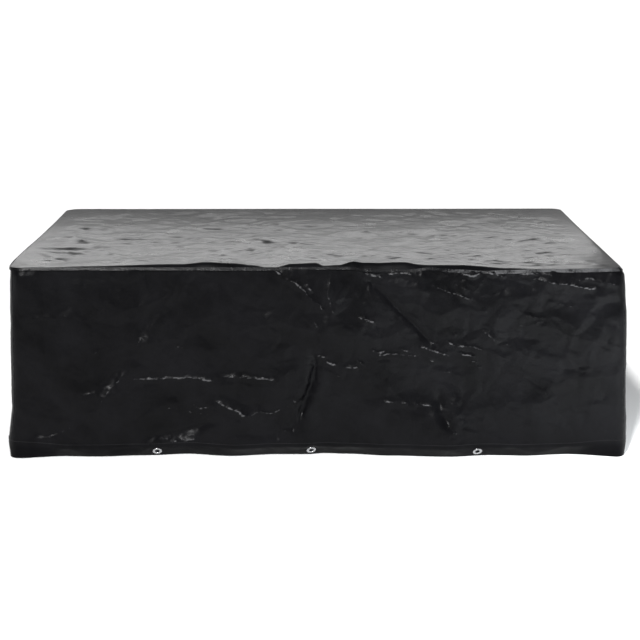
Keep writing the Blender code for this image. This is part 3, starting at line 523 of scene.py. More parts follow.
def read_table(rows, at):
    """Values softly blended between a table's rows of (place, value)."""
    places, values = np.array(rows).T
    at = np.clip(at, places[0], places[-1])
    after = np.clip(np.searchsorted(places, at), 1, len(places) - 1)
    share = (at - places[after - 1]) / (places[after] - places[after - 1])
    blend = soft_step(share)
    return values[after - 1] * (1 - blend) + values[after] * blend


def cell_corners(seed, column, row):
    """Random heights, from -1 to 1, at the near, right, above and far corners of a lattice's cells."""
    heights = np.random.default_rng(seed).uniform(-1.0, 1.0, (LATTICE, LATTICE))
    columns = (column % LATTICE, (column + 1) % LATTICE)
    rows = (row % LATTICE, (row + 1) % LATTICE)
    return [heights[j, i] for j in rows for i in columns]


def smooth_noise(x, y, spacing, seed):
    """Soft random hills, about one for each spacing, from -1 to 1."""
    u = x / spacing + LATTICE_PLACE[0]
    v = y / spacing + LATTICE_PLACE[1]
    column = np.floor(u).astype(int)
    row = np.floor(v).astype(int)
    across = soft_step(u - column)
    up = soft_step(v - row)
    near, right, above, far = cell_corners(seed, column, row)
    low = near * (1 - across) + right * across
    high = above * (1 - across) + far * across
    return low * (1 - up) + high * up


def facets(x, y, spacing, seed):
    """Flat facets that meet in sharp creases, about one for each spacing, from -1 to 1."""
    turn = seed * FACET_TURN
    u = (x * math.cos(turn) + y * math.sin(turn)) / spacing
    v = (y * math.cos(turn) - x * math.sin(turn)) / spacing
    u = u + FACET_WARP * smooth_noise(x, y, spacing * FACET_WARP_SPACING, seed + 101)
    v = v + FACET_WARP * smooth_noise(x, y, spacing * FACET_WARP_SPACING, seed + 202)
    slant = u + v * 0.5
    column = np.floor(slant).astype(int)
    row = np.floor(v).astype(int)
    across = slant - column
    up = v - row
    near, right, above, far = cell_corners(seed, column, row)
    lower = near + (right - near) * across + (above - near) * up
    upper = far + (above - far) * (1 - across) + (right - far) * (1 - up)
    return np.where(across + up < 1, lower, upper)


def line_field(x, y, line):
    """Distance to a line of stretches, signed + on its left, and how far along it (0 to 1)."""
    points = np.array(line)
    lengths = np.linalg.norm(np.diff(points, axis=0), axis=1)
    total = lengths.sum()
    best = np.full(x.shape, np.inf)
    signed = np.zeros(x.shape)
    share = np.zeros(x.shape)
    before = 0.0
    for start, end, length in zip(points, points[1:], lengths):
        way = (end - start) / length
        along = np.clip((x - start[0]) * way[0] + (y - start[1]) * way[1], 0, length)
        off_x = x - start[0] - way[0] * along
        off_y = y - start[1] - way[1] * along
        distance = np.hypot(off_x, off_y)
        nearer = distance < best
        best = np.where(nearer, distance, best)
        side = np.where(way[0] * off_y - way[1] * off_x >= 0, 1.0, -1.0)
        signed = np.where(nearer, distance * side, signed)
        share = np.where(nearer, (before + along) / total, share)
        before += length
    return signed, share, total


def strayed(place, x, y, seed):
    """A coordinate moved a little here and there, so that no crease runs straight."""
    for number, (height, spacing) in enumerate(STRAYS):
        place = place + height * smooth_noise(x, y, spacing, seed + number)
    return place


def sharp_form(crease, signed, away):
    """A sharp crease's section: a rounded crest and, where it is raised, a hollow on its right."""
    form = np.exp(-np.sqrt(away * away + CREST_ROUNDING) + CREST_LIFT)
    if crease.rise > 0:
        beside = (signed + HOLLOW_PLACE * crease.right) / (HOLLOW_WIDTH * crease.right)
        form = form - HOLLOW * np.exp(-beside * beside)
    return form


def worn_and_highlighted(crease, signed, x, y):
    """How worn a raised sharp crease is around its crest, 0 to 1; the same share paints a highlight there."""
    line = 0.85 * np.exp(-((signed / WEAR_HIGHLIGHT_WIDTH) ** 2)) + 0.15 * np.exp(-((signed / WEAR_HIGHLIGHT_BAND) ** 2))
    uneven = 0.78 + 0.45 * smooth_noise(x, y, WEAR_HIGHLIGHT_SPACING, 22)
    return line * uneven * min(1.0, crease.rise / WEAR_HIGHLIGHT_RISE)


def creased(creases, x, y):
    """How far creases lift a panel, and how much wear and painted highlight its sharp creases get, 0 to 1."""
    stray_x = strayed(x, x, y, 11)
    stray_y = strayed(y, x, y, 13)
    lift = np.zeros(x.shape)
    fold = np.zeros(x.shape)
    for number, crease in enumerate(creases):
        widest = max(crease.left, crease.right)
        sharp = min(crease.left, crease.right) <= SHARP_SIDE or widest <= SHARP_SIDES
        reach = widest * (SHARP_REACH if sharp else SOFT_REACH)
        low = np.min(crease.line, axis=0) - reach
        high = np.max(crease.line, axis=0) + reach
        inside = (x > low[0]) & (x < high[0]) & (y > low[1]) & (y < high[1])
        if not inside.any():
            continue
        near_x = stray_x[inside]
        near_y = stray_y[inside]
        signed, share, total = line_field(near_x, near_y, crease.line)
        away = np.abs(signed) / np.where(signed > 0, crease.left, crease.right)
        form = sharp_form(crease, signed, away) if sharp else np.exp(-away * away)
        taper = min(LONGEST_TAPER, SHARP_TAPER / total) if sharp else SOFT_TAPER
        ends = soft_step(share / taper) * soft_step((1 - share) / taper)
        if crease.broken:
            spacing = SHORT_BEAD if total < SHORT_CREASE else LONG_BEAD
            beads = smooth_noise(share * total, share * 0 + number, spacing, 21)
            ends = ends * (1 - crease.broken * soft_step(0.5 + beads))
        lift[inside] += crease.rise * form * ends
        # wear and painted highlight along the crest of a raised sharp crease
        if sharp and crease.rise > 0:
            wear_and_highlight = worn_and_highlighted(crease, signed, near_x, near_y) * ends
            fold[inside] = np.maximum(fold[inside], wear_and_highlight)
    return lift, fold


def crumple(x, y, seed, heights):
    """Crumpled cloth: facets from a hand's width down to a finger's."""
    lift = np.zeros(x.shape)
    for number, (spacing, height) in enumerate(zip(CRUMPLE_SPACINGS, heights)):
        lift += height * facets(x, y, spacing, seed + number)
    return lift


def strewn_creases(panel, width, low, high):
    """Small bent creases of many lengths and directions over a panel."""
    facts = STREWN[panel]
    rng = np.random.default_rng(len(panel) * 100 + facts.count)
    made = []
    for _ in range(facts.count):
        middle = np.array((rng.uniform(-width / 2, width / 2), rng.uniform(low, high)))
        half = facts.longest / 2 * rng.uniform(0.15, 1.0) ** 1.5
        turn = rng.normal(0.0, facts.turn)
        way = np.array((math.cos(turn), math.sin(turn)))
        bend = np.array((-way[1], way[0])) * half * rng.uniform(-0.25, 0.25)
        line = (tuple(middle - way * half), tuple(middle + bend), tuple(middle + way * half))
        rise = facts.rise * rng.uniform(0.35, 1.0) * rng.choice((-1.0, 1.0))
        left, right = facts.width * rng.uniform((0.7, 1.1), (1.3, 2.2))
        made.append(Crease(rise, left, right, line, rng.uniform(0.0, facts.broken)))
    return made


def all_creases(panel, width, low, high):
    placed = [Crease(*row) for row in CREASES[panel]]
    return placed + strewn_creases(panel, width, low, high)


ALL_CREASES = {"top": all_creases("top", WIDTH, -DEPTH / 2, DEPTH / 2)}
for side_name in SIDE_NAMES:
    ALL_CREASES[side_name] = all_creases(side_name, SIDES[side_name].length, STREWN_LOW, SEAM_HEIGHT)

# ---- The drape ----------------------------------------------------------------------------------------


def bulge(side, height):
    heights = [row.height for row in reversed(BULGES)]
    values = [getattr(row, side) for row in reversed(BULGES)]
    return np.interp(height, heights, values)


def corner_radius(side, height):
    share = height / SEAM_HEIGHT
    return CORNERS[side].floor_radius * (1 - share) + CORNERS[side].seam_radius * share


def neighbours(side):
    at = SIDE_NAMES.index(side)
    return SIDE_NAMES[at - 1], SIDE_NAMES[(at + 1) % len(SIDE_NAMES)]


Plan = namedtuple("Plan", "place outward along to_corner")


def plan_points(side, share, height):
    """Plan position, direction out, place along from the side's middle, and distance to the corner."""
    before, after = neighbours(side)
    facts = SIDES[side]
    share, height = np.broadcast_arrays(np.asarray(share, float), np.asarray(height, float))
    start_radius = corner_radius(side, height)
    end_radius = corner_radius(after, height)
    start = -facts.length / 2 - bulge(before, height)
    end = facts.length / 2 + bulge(after, height)
    start_arc = start_radius * math.pi / 4
    end_arc = end_radius * math.pi / 4
    straight = end - start - start_radius - end_radius
    total = start_arc + straight + end_arc
    travelled = share * total
    in_start = travelled < start_arc
    in_end = travelled > start_arc + straight
    turn = np.where(in_start, (travelled - start_arc) / start_radius, 0.0)
    turn = np.where(in_end, (travelled - start_arc - straight) / end_radius, turn)
    along = start + start_radius + travelled - start_arc
    along = np.where(in_start, start + start_radius + start_radius * np.sin(turn), along)
    along = np.where(in_end, end - end_radius + end_radius * np.sin(turn), along)
    drop = np.where(in_start, start_radius, end_radius) * (1 - np.cos(turn))
    out = facts.across / 2 + bulge(side, height) - drop
    along_way = np.array(facts.along)
    out_way = np.array(facts.out)
    place = along[..., None] * along_way + out[..., None] * out_way
    outward = np.sin(turn)[..., None] * along_way + np.cos(turn)[..., None] * out_way
    return Plan(place, outward, along, np.minimum(travelled, total - travelled))


def lifted(place, height):
    """Plan places and heights as points in the row frame."""
    return np.concatenate([place, np.asarray(height)[..., None]], axis=-1) + TOP_MIDDLE


def hem_wave(side, along, to_corner):
    return read_table(HEM_WAVES[side], along) * soft_step(to_corner / CORNER_FADE)


def hem_tuck(to_corner):
    return CORNER_TUCK + (HEM_TUCK - CORNER_TUCK) * soft_step(to_corner / TUCK_REACH)


def hem_profile(down, tuck):
    """How far the hem strip has gone inwards and dropped, a length down from its top, and its slope."""
    bent = np.clip(down - HEM_UPRIGHT, 0.0, HEM_BEND)
    turn = tuck * bent / HEM_BEND
    bend_radius = HEM_BEND / tuck
    flat = np.maximum(down - HEM_UPRIGHT - HEM_BEND, 0.0)
    inwards = bend_radius * (1 - np.cos(turn)) + flat * np.sin(tuck)
    dropped = np.minimum(down, HEM_UPRIGHT) + bend_radius * np.sin(turn) + flat * np.cos(tuck)
    return inwards, dropped, turn


def hem_top(tuck):
    return hem_profile(HEM_WIDTH, tuck)[1] + HEM_SHEET / 2 * np.sin(tuck)


def seam_drop(side, along):
    return read_table(SEAM_DROPS[side], along)


def side_seed(side):
    return 40 + 10 * SIDE_NAMES.index(side)


def puckers(along, below, height, reach, seed):
    """Small puckers that a row of stitches draws into the cloth, fading with the distance below it."""
    waves = smooth_noise(along, below * 0.3, 0.021, seed)
    waves = waves + 0.5 * smooth_noise(along, below * 0.5, 0.009, seed + 1)
    return height * waves * np.exp(-below / reach)


def relief(side, along, up, to_corner):
    """How far a side's cloth stands off its plain drape, and how much wear and painted highlight it gets
    there.
    """
    seed = side_seed(side)
    lift, fold = creased(ALL_CREASES[side], along, up)
    lift = lift + crumple(along, up, seed, CRUMPLE[side])
    below = np.maximum(SKIRT_TOP - up, 0.0)
    fade = soft_step(to_corner / CORNER_CALM_REACH)
    near_seam = SEAM_CALM + (1 - SEAM_CALM) * soft_step(below / SEAM_CALM_REACH)
    lift = lift * near_seam + puckers(along, below, SEAM_PUCKER, SEAM_PUCKER_REACH, seed + 7)
    return lift * fade, fold * fade


SKIRT_TOP = SEAM_HEIGHT - SHEET / 2 - GAP - SEAM_CLEARANCE


def skirt_points(side, share, rise):
    """Points of a skirt panel, their flat places and folds: rise is 0 at the hem, 1 at the seam."""
    bottom = hem_top(hem_tuck(plan_points(side, share, HEM_BULGE_HEIGHT).to_corner))
    drop = seam_drop(side, plan_points(side, share, SEAM_HEIGHT).along)
    top = SKIRT_TOP - drop
    height = bottom + (top - bottom) * rise
    fallen = drop * soft_step(1 - (top - height) / DROP_REACH)
    place, outward, along, to_corner = plan_points(side, share, height + fallen)
    wave = hem_wave(side, along, to_corner) * (1 - soft_step((height - bottom) / WAVE_REACH))
    lift, fold = relief(side, along, height, to_corner)
    out = wave + lift
    flat = np.stack([along, height - bottom + HEM_WIDTH], axis=-1)
    return lifted(place + outward * out[..., None], height), flat, fold


def hem_points(side, share, down, off, eyelets):
    """Points of a hem strip, a length down from its top and off its middle surface."""
    share, down = np.broadcast_arrays(share, down)
    place, outward, along, to_corner = plan_points(side, share, HEM_BULGE_HEIGHT)
    tuck = hem_tuck(to_corner)
    inwards, dropped, turn = hem_profile(down, tuck)
    top = hem_top(tuck)
    lift, fold = relief(side, along, top - down, to_corner)
    lift = lift * (1 - HEM_CALM * soft_step(down / HEM_WIDTH))
    to_stitches = np.abs(down - HEM_STITCHES)
    lift = lift + puckers(along, to_stitches, HEM_PUCKER, HEM_PUCKER_REACH, side_seed(side) + 8)
    out = hem_wave(side, along, to_corner) - inwards + (lift + off) * np.cos(turn)
    height = top - dropped - (lift + off) * np.sin(turn)
    height = height + read_table(HEM_LIFTS[side], along) * down / HEM_WIDTH
    points = lifted(place + outward * out[..., None], np.maximum(height, FLOOR_CLEARANCE))
    for eyelet in eyelets:
        points = pressed_flat(points, eyelet, off)
    return points, np.stack([along, HEM_WIDTH - down], axis=-1), fold


def pressed_flat(points, eyelet, off):
    """The cloth is flat under an eyelet, and blends into the hem around it."""
    away = points - eyelet.centre
    depth = away @ eyelet.out
    across = np.linalg.norm(away - depth[..., None] * eyelet.out, axis=-1)
    share = 1 - soft_step((across - EYELET_RADIUS - PRESSED_MARGIN) / PRESSED_REACH)
    return points - ((depth - off) * share)[..., None] * eyelet.out


def rim_points(side, share):
    plan = plan_points(side, share, SEAM_HEIGHT)
    return plan.place + plan.outward * LIP, plan.along


def top_points(across, back):
    """Points of the top sheet, their flat places and folds, on a grid of shares."""
    ways = {"front": across, "right": back, "back": 1 - across, "left": 1 - back}
    rims = {side: rim_points(side, share) for side, share in ways.items()}
    near_left, near_right = [rim_points("front", end)[0] for end in (0.0, 1.0)]
    far_right, far_left = [rim_points("back", end)[0] for end in (0.0, 1.0)]
    a = across[..., None]
    b = back[..., None]
    rules = rims["front"][0] * (1 - b) + rims["back"][0] * b
    rules = rules + rims["left"][0] * (1 - a) + rims["right"][0] * a
    near = near_left * (1 - a) + near_right * a
    far = far_left * (1 - a) + far_right * a
    place = rules - near * (1 - b) - far * b
    x = place[..., 0]
    y = place[..., 1]
    fall = np.zeros(x.shape)
    puff = np.zeros(x.shape)
    to_rim = np.full(x.shape, np.inf)
    for side, (rim, along) in rims.items():
        away = np.linalg.norm(place - rim, axis=-1)
        to_rim = np.minimum(to_rim, away)
        fall = np.maximum(fall, seam_drop(side, along) * (1 - soft_step(away / PUFF_REACH)))
        risen = np.sqrt(soft_step(away / ROLL)) * (1 - soft_step((away - ROLL) / PUFF_REACH))
        puff = np.maximum(puff, read_table(SEAM_PUFFS[side], along) * risen)
    sag = SAG * np.clip(1 - (2 * y / DEPTH) ** 2, 0, 1) * np.clip(1 - (2 * x / WIDTH) ** 4, 0, 1)
    lift = creased(ALL_CREASES["top"], x, y)[0]
    lift = lift + crumple(x * TOP_STRETCH[0], y * TOP_STRETCH[1], TOP_SEED, CRUMPLE["top"])
    lift = lift * (RIM_CALM + (1 - RIM_CALM) * soft_step(to_rim / RIM_CALM_REACH))
    return lifted(place, SEAM_HEIGHT + lift + puff - fall - sag), place, np.zeros(x.shape)


def lap_points(side, share, depth, out):
    """The seam allowance laps down over the skirt's top. depth and out are shares of its size."""
    seam = plan_points(side, share, SEAM_HEIGHT)
    seed = side_seed(side)
    calm = soft_step(seam.to_corner / LAP_CALM_REACH)
    uneven = smooth_noise(seam.along, seam.along * 0, LAP_UNEVEN_SPACING, seed + 3)
    tall = LAP * (1 + LAP_UNEVEN * calm * uneven)
    place, outward, along, _ = plan_points(side, share, SEAM_HEIGHT - tall * depth)
    stand = np.zeros(along.shape)
    for number, (height, spacing, drift) in enumerate(LAP_WAVES, start=4):
        stand += height * smooth_noise(along, depth * drift, spacing, seed + number)
    off = LIP + LAP_OUT * out + LAP_WAVE * calm * stand * np.clip(depth, 0, 1)
    height = SEAM_HEIGHT - seam_drop(side, along) - tall * depth
    flat = np.stack([along, LAP_FLAT - tall * depth], axis=-1)
    # wear and painted highlight on the lap's fold, more towards the front's right end
    wear_and_highlight = np.full(along.shape, LAP_WEAR_AND_HIGHLIGHT)
    if side == "front":
        wear_and_highlight += FRONT_WEAR_AND_HIGHLIGHT * soft_step((along - FRONT_HIGHLIGHT_START) / FRONT_HIGHLIGHT_REACH)
    wear_and_highlight = wear_and_highlight * (0.85 + 0.3 * smooth_noise(along, depth * 0.02, 0.030, seed + 2))
    return lifted(place + outward * off[..., None], height), flat, wear_and_highlight


def corner_points(side, height, across):
    """The upright seam at the end of a side, a narrow ridge with puckers."""
    plan = plan_points(side, np.ones(height.shape), height)
    aside = np.stack([-plan.outward[..., 1], plan.outward[..., 0]], axis=-1)
    uneven = 1 + CORNER_RIDGE_UNEVEN * smooth_noise(height, height * 0, 0.013, side_seed(side) + 9)
    proud = CORNER_RIDGE * uneven * (1 - across * across) - CORNER_RIDGE_SUNK
    flat = np.stack([across * CORNER_RIDGE_WIDTH, height], axis=-1)
    points = plan.place + plan.outward * proud[..., None]
    points = points + aside * (across * CORNER_RIDGE_WIDTH / 2)[..., None]
    return lifted(points, height), flat, np.full(height.shape, CORNER_RIDGE_WEAR_AND_HIGHLIGHT)


# ---- Making objects --------------------------------------------------------------------------------------


def grid_object(name, points, flat, fold, material, keep=None, closed=False):
    """A sheet through a grid of points, with its flat places in metres as UVs."""
    rows, columns = points.shape[:2]
    index = np.arange(rows * columns).reshape(rows, columns)
    if closed:
        index = np.concatenate([index, index[:, :1]], axis=1)
        index = np.concatenate([index, index[:1]], axis=0)
    corners = (index[:-1, :-1], index[:-1, 1:], index[1:, 1:], index[1:, :-1])
    quads = np.stack(corners, axis=-1).reshape(-1, 4)
    if keep is not None:
        quads = quads[keep.reshape(-1)]
    used, quads = np.unique(quads, return_inverse=True)
    quads = quads.reshape(-1, 4)
    mesh = bpy.data.meshes.new(name)
    mesh.vertices.add(len(used))
    mesh.vertices.foreach_set("co", points.reshape(-1, 3)[used].reshape(-1).astype(np.float32))
    mesh.loops.add(quads.size)
    mesh.loops.foreach_set("vertex_index", quads.reshape(-1).astype(np.int32))
    mesh.polygons.add(len(quads))
    mesh.polygons.foreach_set("loop_start", np.arange(0, quads.size, 4, dtype=np.int32))
    mesh.update(calc_edges=True)
    layer = mesh.uv_layers.new(name="flat")
    flat = flat.reshape(-1, 2)[used]
    layer.data.foreach_set("uv", flat[quads.reshape(-1)].reshape(-1).astype(np.float32))
    folds = mesh.attributes.new("fold", "FLOAT", "POINT")
    folds.data.foreach_set("value", fold.reshape(-1)[used].astype(np.float32))
    mesh.shade_smooth()
    mesh.materials.append(material)
    return linked(name, mesh)


def linked(name, mesh):
    made = bpy.data.objects.new(name, mesh)
    bpy.context.scene.collection.objects.link(made)
    return made


def shares(length, cell):
    return np.linspace(0.0, 1.0, round(length / cell) + 1)


def make_top(material):
    across, back = np.meshgrid(shares(WIDTH, TOP_CELL), shares(DEPTH, TOP_CELL))
    return grid_object("cloth_top", *top_points(across, back), material)


def make_skirt(side, material):
    cell = SKIRT_CELL[side]
    share, rise = np.meshgrid(shares(SIDES[side].length + CORNER_GAIN, cell), shares(SKIRT_DROP, cell))
    return grid_object(f"cloth_{side}", *skirt_points(side, share, rise), material)


def hem_section():
    """Lengths down and offsets: down the outside, round the folded edge and up the inside."""
    half = HEM_SHEET / 2
    edge = HEM_WIDTH - half
    down = np.linspace(0.0, edge, round(HEM_WIDTH / HEM_CELL) + 2)
    section = [HEM_START]
    section += [(length, half * soft_step(length / HEM_THICKENING)) for length in down]
    for angle in np.radians((30, 60, 90, 120, 150)):
        section.append((edge + half * np.sin(angle), half * np.cos(angle)))
    section += [(length, -half) for length in reversed(down)]
    return section


def make_hem(side, eyelets, material):
    """The hem: the cloth runs down outside, turns under at the edge and comes up inside."""
    section = hem_section()
    length = SIDES[side].length + CORNER_GAIN
    share, row = np.meshgrid(shares(length, HEM_CELL), np.arange(len(section)))
    lengths, offsets = np.array(section).T[:, row]
    points, flat, fold = hem_points(side, share, lengths, offsets, eyelets)
    middles = (points[:-1, :-1] + points[1:, 1:]) / 2
    keep = np.ones(middles.shape[:2], bool)
    for eyelet in eyelets:
        away = middles - eyelet.centre
        across = away - (away @ eyelet.out)[..., None] * eyelet.out
        keep &= np.linalg.norm(across, axis=-1) > EYELET_BORE + HOLE_MARGIN
    return grid_object(f"hem_cloth_{side}", points[::-1], flat[::-1], fold[::-1], material, keep=keep[::-1])


# A lap's section as shares of its depth and how far it stands off: down the outside and back under.
LAP_SECTION = (
    (-0.06, -0.60), (0.02, -0.05), (0.14, 0.10), (0.30, 0.40), (0.50, 0.65),
    (0.70, 0.85), (0.88, 1.00), (0.97, 0.95), (1.00, 0.60), (0.97, 0.00), (0.85, -0.90),
)


def make_lap(side, material):
    """The seam around the top, where the top sheet's edge is folded and sewn down over the skirt."""
    share, row = np.meshgrid(shares(SIDES[side].length, LAP_CELL), np.arange(len(LAP_SECTION)))
    depth, out = np.array(LAP_SECTION).T[:, row]
    points, flat, fold = lap_points(side, share, depth, out)
    return grid_object(f"seam_{side}", points[::-1], flat[::-1], fold[::-1], material)


def make_corner(side, material):
    low = hem_top(CORNER_TUCK) - CORNER_RIDGE_UNDER
    high = SEAM_HEIGHT - CORNER_RIDGE_BELOW
    count = round((high - low) / LAP_CELL)
    across, height = np.meshgrid(np.linspace(-1, 1, CORNER_ROWS), np.linspace(low, high, count))
    return grid_object(f"corner_seam_{side}", *corner_points(side, height, across), material)


# ---- Stitches -----------------------------------------------------------------------------------------

# One stitch from start to end: shares of its length, half width and height.
STITCH_FORM = (
    (0.00, 0.0, -0.6),
    (0.22, 1.0, 0.0), (0.22, 0.0, 1.0), (0.22, -1.0, 0.0), (0.22, 0.0, -0.6),
    (0.78, 1.0, 0.0), (0.78, 0.0, 1.0), (0.78, -1.0, 0.0), (0.78, 0.0, -0.6),
    (1.00, 0.0, -0.6),
)
STITCH_FACES = (
    (0, 2, 1), (0, 3, 2), (0, 4, 3), (0, 1, 4),
    (1, 2, 6), (1, 6, 5), (2, 3, 7), (2, 7, 6), (3, 4, 8), (3, 8, 7), (4, 1, 5), (4, 5, 8),
    (9, 5, 6), (9, 6, 7), (9, 7, 8), (9, 8, 5),
)


def stitch_arrays(starts, ends, outs):
    """Corners and faces of a row of stitches."""
    way = ends - starts
    long_way = way / np.linalg.norm(way, axis=-1, keepdims=True)
    aside = np.cross(long_way, outs)
    corners = np.zeros((len(starts), len(STITCH_FORM), 3))
    for number, (along, wide, high) in enumerate(STITCH_FORM):
        corners[:, number] = starts + way * along + (aside * wide + outs * high) * STITCH_SIZE
    faces = np.array(STITCH_FACES)[None] + len(STITCH_FORM) * np.arange(len(starts))[:, None, None]
    return corners.reshape(-1, 3), faces.reshape(-1, 3)


def stitches_object(name, rows, material):
    """All rows of stitches of one seam as one mesh."""
    corners = []
    faces = []
    count = 0
    for starts, ends, outs in rows:
        row_corners, row_faces = stitch_arrays(starts, ends, outs)
        corners.append(row_corners)
        faces.append(row_faces + count)
        count += len(row_corners)
    corners = np.concatenate(corners)
    faces = np.concatenate(faces)
    mesh = bpy.data.meshes.new(name)
    mesh.from_pydata(corners.tolist(), [], faces.tolist())
    mesh.shade_smooth()
    mesh.materials.append(material)
    return linked(name, mesh)


def stitch_shares(length):
    count = round(length / STITCH_PITCH)
    starts = (np.arange(count) + 0.2) / count
    return starts, starts + STITCH_LENGTH / length


def hem_stitches(side, eyelets):
    starts, ends = stitch_shares(SIDES[side].length + CORNER_GAIN)
    down = np.full(starts.shape, HEM_STITCHES)
    off = HEM_SHEET / 2 * soft_step(HEM_STITCHES / HEM_THICKENING)
    first = hem_points(side, starts, down, off, eyelets)[0]
    last = hem_points(side, ends, down, off, eyelets)[0]
    outward = plan_points(side, starts, HEM_BULGE_HEIGHT).outward
    return first, last, np.concatenate([outward, np.zeros((len(starts), 1))], axis=-1)


def lap_stitches(side):
    starts, ends = stitch_shares(SIDES[side].length)
    depth = np.full(starts.shape, LAP_STITCHES[0])
    out = np.full(starts.shape, LAP_STITCHES[1])
    first = lap_points(side, starts, depth, out)[0]
    last = lap_points(side, ends, depth, out)[0]
    outward = plan_points(side, starts, SEAM_HEIGHT).outward
    outs = np.concatenate([outward * LAP_FACING[0], np.full((len(starts), 1), LAP_FACING[1])], axis=-1)
    return first, last, outs


def corner_stitches(side):
    low = hem_top(CORNER_TUCK)
    high = SEAM_HEIGHT - CORNER_STITCHES_BELOW
    starts, ends = stitch_shares(high - low)
    rows = []
    for across in (-RIDGE_STITCHES, RIDGE_STITCHES):
        places = []
        for share in (starts, ends):
            height = low + share * (high - low)
            plan = plan_points(side, np.ones(height.shape), height)
            aside = np.stack([-plan.outward[..., 1], plan.outward[..., 0]], axis=-1)
            places.append(lifted(plan.place + aside * across * CORNER_RIDGE_WIDTH / 2, height))
        outs = np.concatenate([plan.outward, np.zeros((len(starts), 1))], axis=-1)
        rows.append((places[0], places[1], outs))
    return rows


# ---- Eyelets -------------------------------------------------------------------------------------------

Eyelet = namedtuple("Eyelet", "name centre out along")


def read_eyelet(side, number):
    """An eyelet's place and axes, from its solid: its flattest direction is the way out."""
    name = f"eyelet_{side}_{number}"
    points = np.array([corner.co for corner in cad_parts[name].data.vertices])
    middle = points.mean(axis=0)
    out = np.linalg.svd(points - middle, full_matrices=False)[2][2]
    side_out = np.array((*SIDES[side].out, 0.0))
    if out @ side_out < 0:
        out = -out
    depths = (points - middle) @ out
    centre = middle + out * (depths.max() - EYELET_DOME - HEM_SHEET / 2 - GAP)
    along = np.cross(np.array((0.0, 0.0, 1.0)), out)
    return Eyelet(name=name, centre=centre, out=out, along=along / np.linalg.norm(along))


def eyelet_section():
    """Radius and height round the metal: a rolled front ring, the barrel and the washer behind."""
    cloth = HEM_SHEET / 2 + EYELET_PLAY
    half = (EYELET_RADIUS - EYELET_BORE) / 2
    middle = EYELET_BORE + half
    section = []
    for angle in np.linspace(0.0, math.pi, 15):
        rise = math.sin(angle) ** 0.75
        height = cloth + EYELET_PLAY + (EYELET_DOME - EYELET_PLAY) * rise
        section.append((middle - half * math.cos(angle), height))
    back = -cloth - EYELET_METAL
    section += [
        (EYELET_RADIUS - 0.0003, cloth),
        (EYELET_BORE + 0.0010, cloth),
        (EYELET_BORE + 0.0010, -cloth),
        (EYELET_WASHER, -cloth),
        (EYELET_WASHER + 0.0002, back + 0.0005),
        (EYELET_WASHER - 0.0006, back),
        (EYELET_BORE + 0.0020, back),
        (EYELET_BORE + 0.0004, back + 0.0001),
        (EYELET_BORE, back + 0.0006),
    ]
    return np.array(section)


def make_eyelet(eyelet, material):
    section = eyelet_section()
    turn = np.linspace(0.0, math.tau, EYELET_SEGMENTS, endpoint=False)
    up = np.cross(eyelet.out, eyelet.along)
    around = np.cos(turn)[:, None] * eyelet.along + np.sin(turn)[:, None] * up
    points = section[:, 0][:, None, None] * around[None] + section[:, 1][:, None, None] * eyelet.out
    points = points + eyelet.centre
    rings = np.arange(len(section))[:, None] * EYELET_FLAT_STEP
    flat = np.stack(np.broadcast_arrays(turn[None] * EYELET_RADIUS, rings), axis=-1)
    name = eyelet.name.replace("eyelet", "ring")
    made = grid_object(name, points, flat, np.zeros(points.shape[:2]), material, closed=True)
    made.data.set_sharp_from_angle(angle=math.radians(55))
    return made


# ---- Materials ---------------------------------------------------------------------------------------------


def new_material(name):
    made = bpy.data.materials.new(name)
    made.use_nodes = True
    return made, made.node_tree, made.node_tree.nodes["Principled BSDF"]


def add_node(tree, kind, inputs=(), **settings):
    """A node with its settings, and its inputs set to numbers or joined to other nodes' outputs."""
    made = tree.nodes.new(kind)
    for name, value in settings.items():
        setattr(made, name, value)
    for name, value in dict(inputs).items():
        if isinstance(value, bpy.types.NodeSocket):
            tree.links.new(value, made.inputs[name])
        else:
            made.inputs[name].default_value = value
    return made


def maths(tree, operation, first, second=0.0):
    return add_node(tree, "ShaderNodeMath", {0: first, 1: second}, operation=operation).outputs[0]


def noise(tree, place, scale, detail=2.0, roughness=0.5, distortion=0.0):
    inputs = {
        "Vector": place, "Scale": scale, "Detail": detail, "Roughness": roughness, "Distortion": distortion,
    }
    return add_node(tree, "ShaderNodeTexNoise", inputs).outputs[0]


def ranged(tree, value, low, high, to_low, to_high):
    inputs = {"Value": value, "From Min": low, "From Max": high, "To Min": to_low, "To Max": to_high}
    return add_node(tree, "ShaderNodeMapRange", inputs).outputs[0]


def mixed_colour(tree, share, first, second):
    """Two colours mixed: a Mix node's colours are its inputs 6 and 7 and its output 2."""
    return add_node(tree, "ShaderNodeMix", {0: share, 6: first, 7: second}, data_type="RGBA").outputs[2]


def grey(level, blue=0.0):
    return (level, level, level + blue, 1)


def bumped(tree, shader, height):
    """The shader's surface raised by a height in metres."""
    bump = add_node(tree, "ShaderNodeBump", {"Strength": 1.0, "Distance": 1.0, "Height": height})
    tree.links.new(bump.outputs[0], shader.inputs["Normal"])


def weave_height(tree, place, pitch):
    """Flat tapes that pass over and under each other, from -1 to 1."""
    split = add_node(tree, "ShaderNodeSeparateXYZ", {0: place})
    waves = []
    for socket in (split.outputs[0], split.outputs[1]):
        waves.append(maths(tree, "SINE", maths(tree, "MULTIPLY", socket, math.tau / pitch)))
    return maths(tree, "MULTIPLY", waves[0], waves[1])


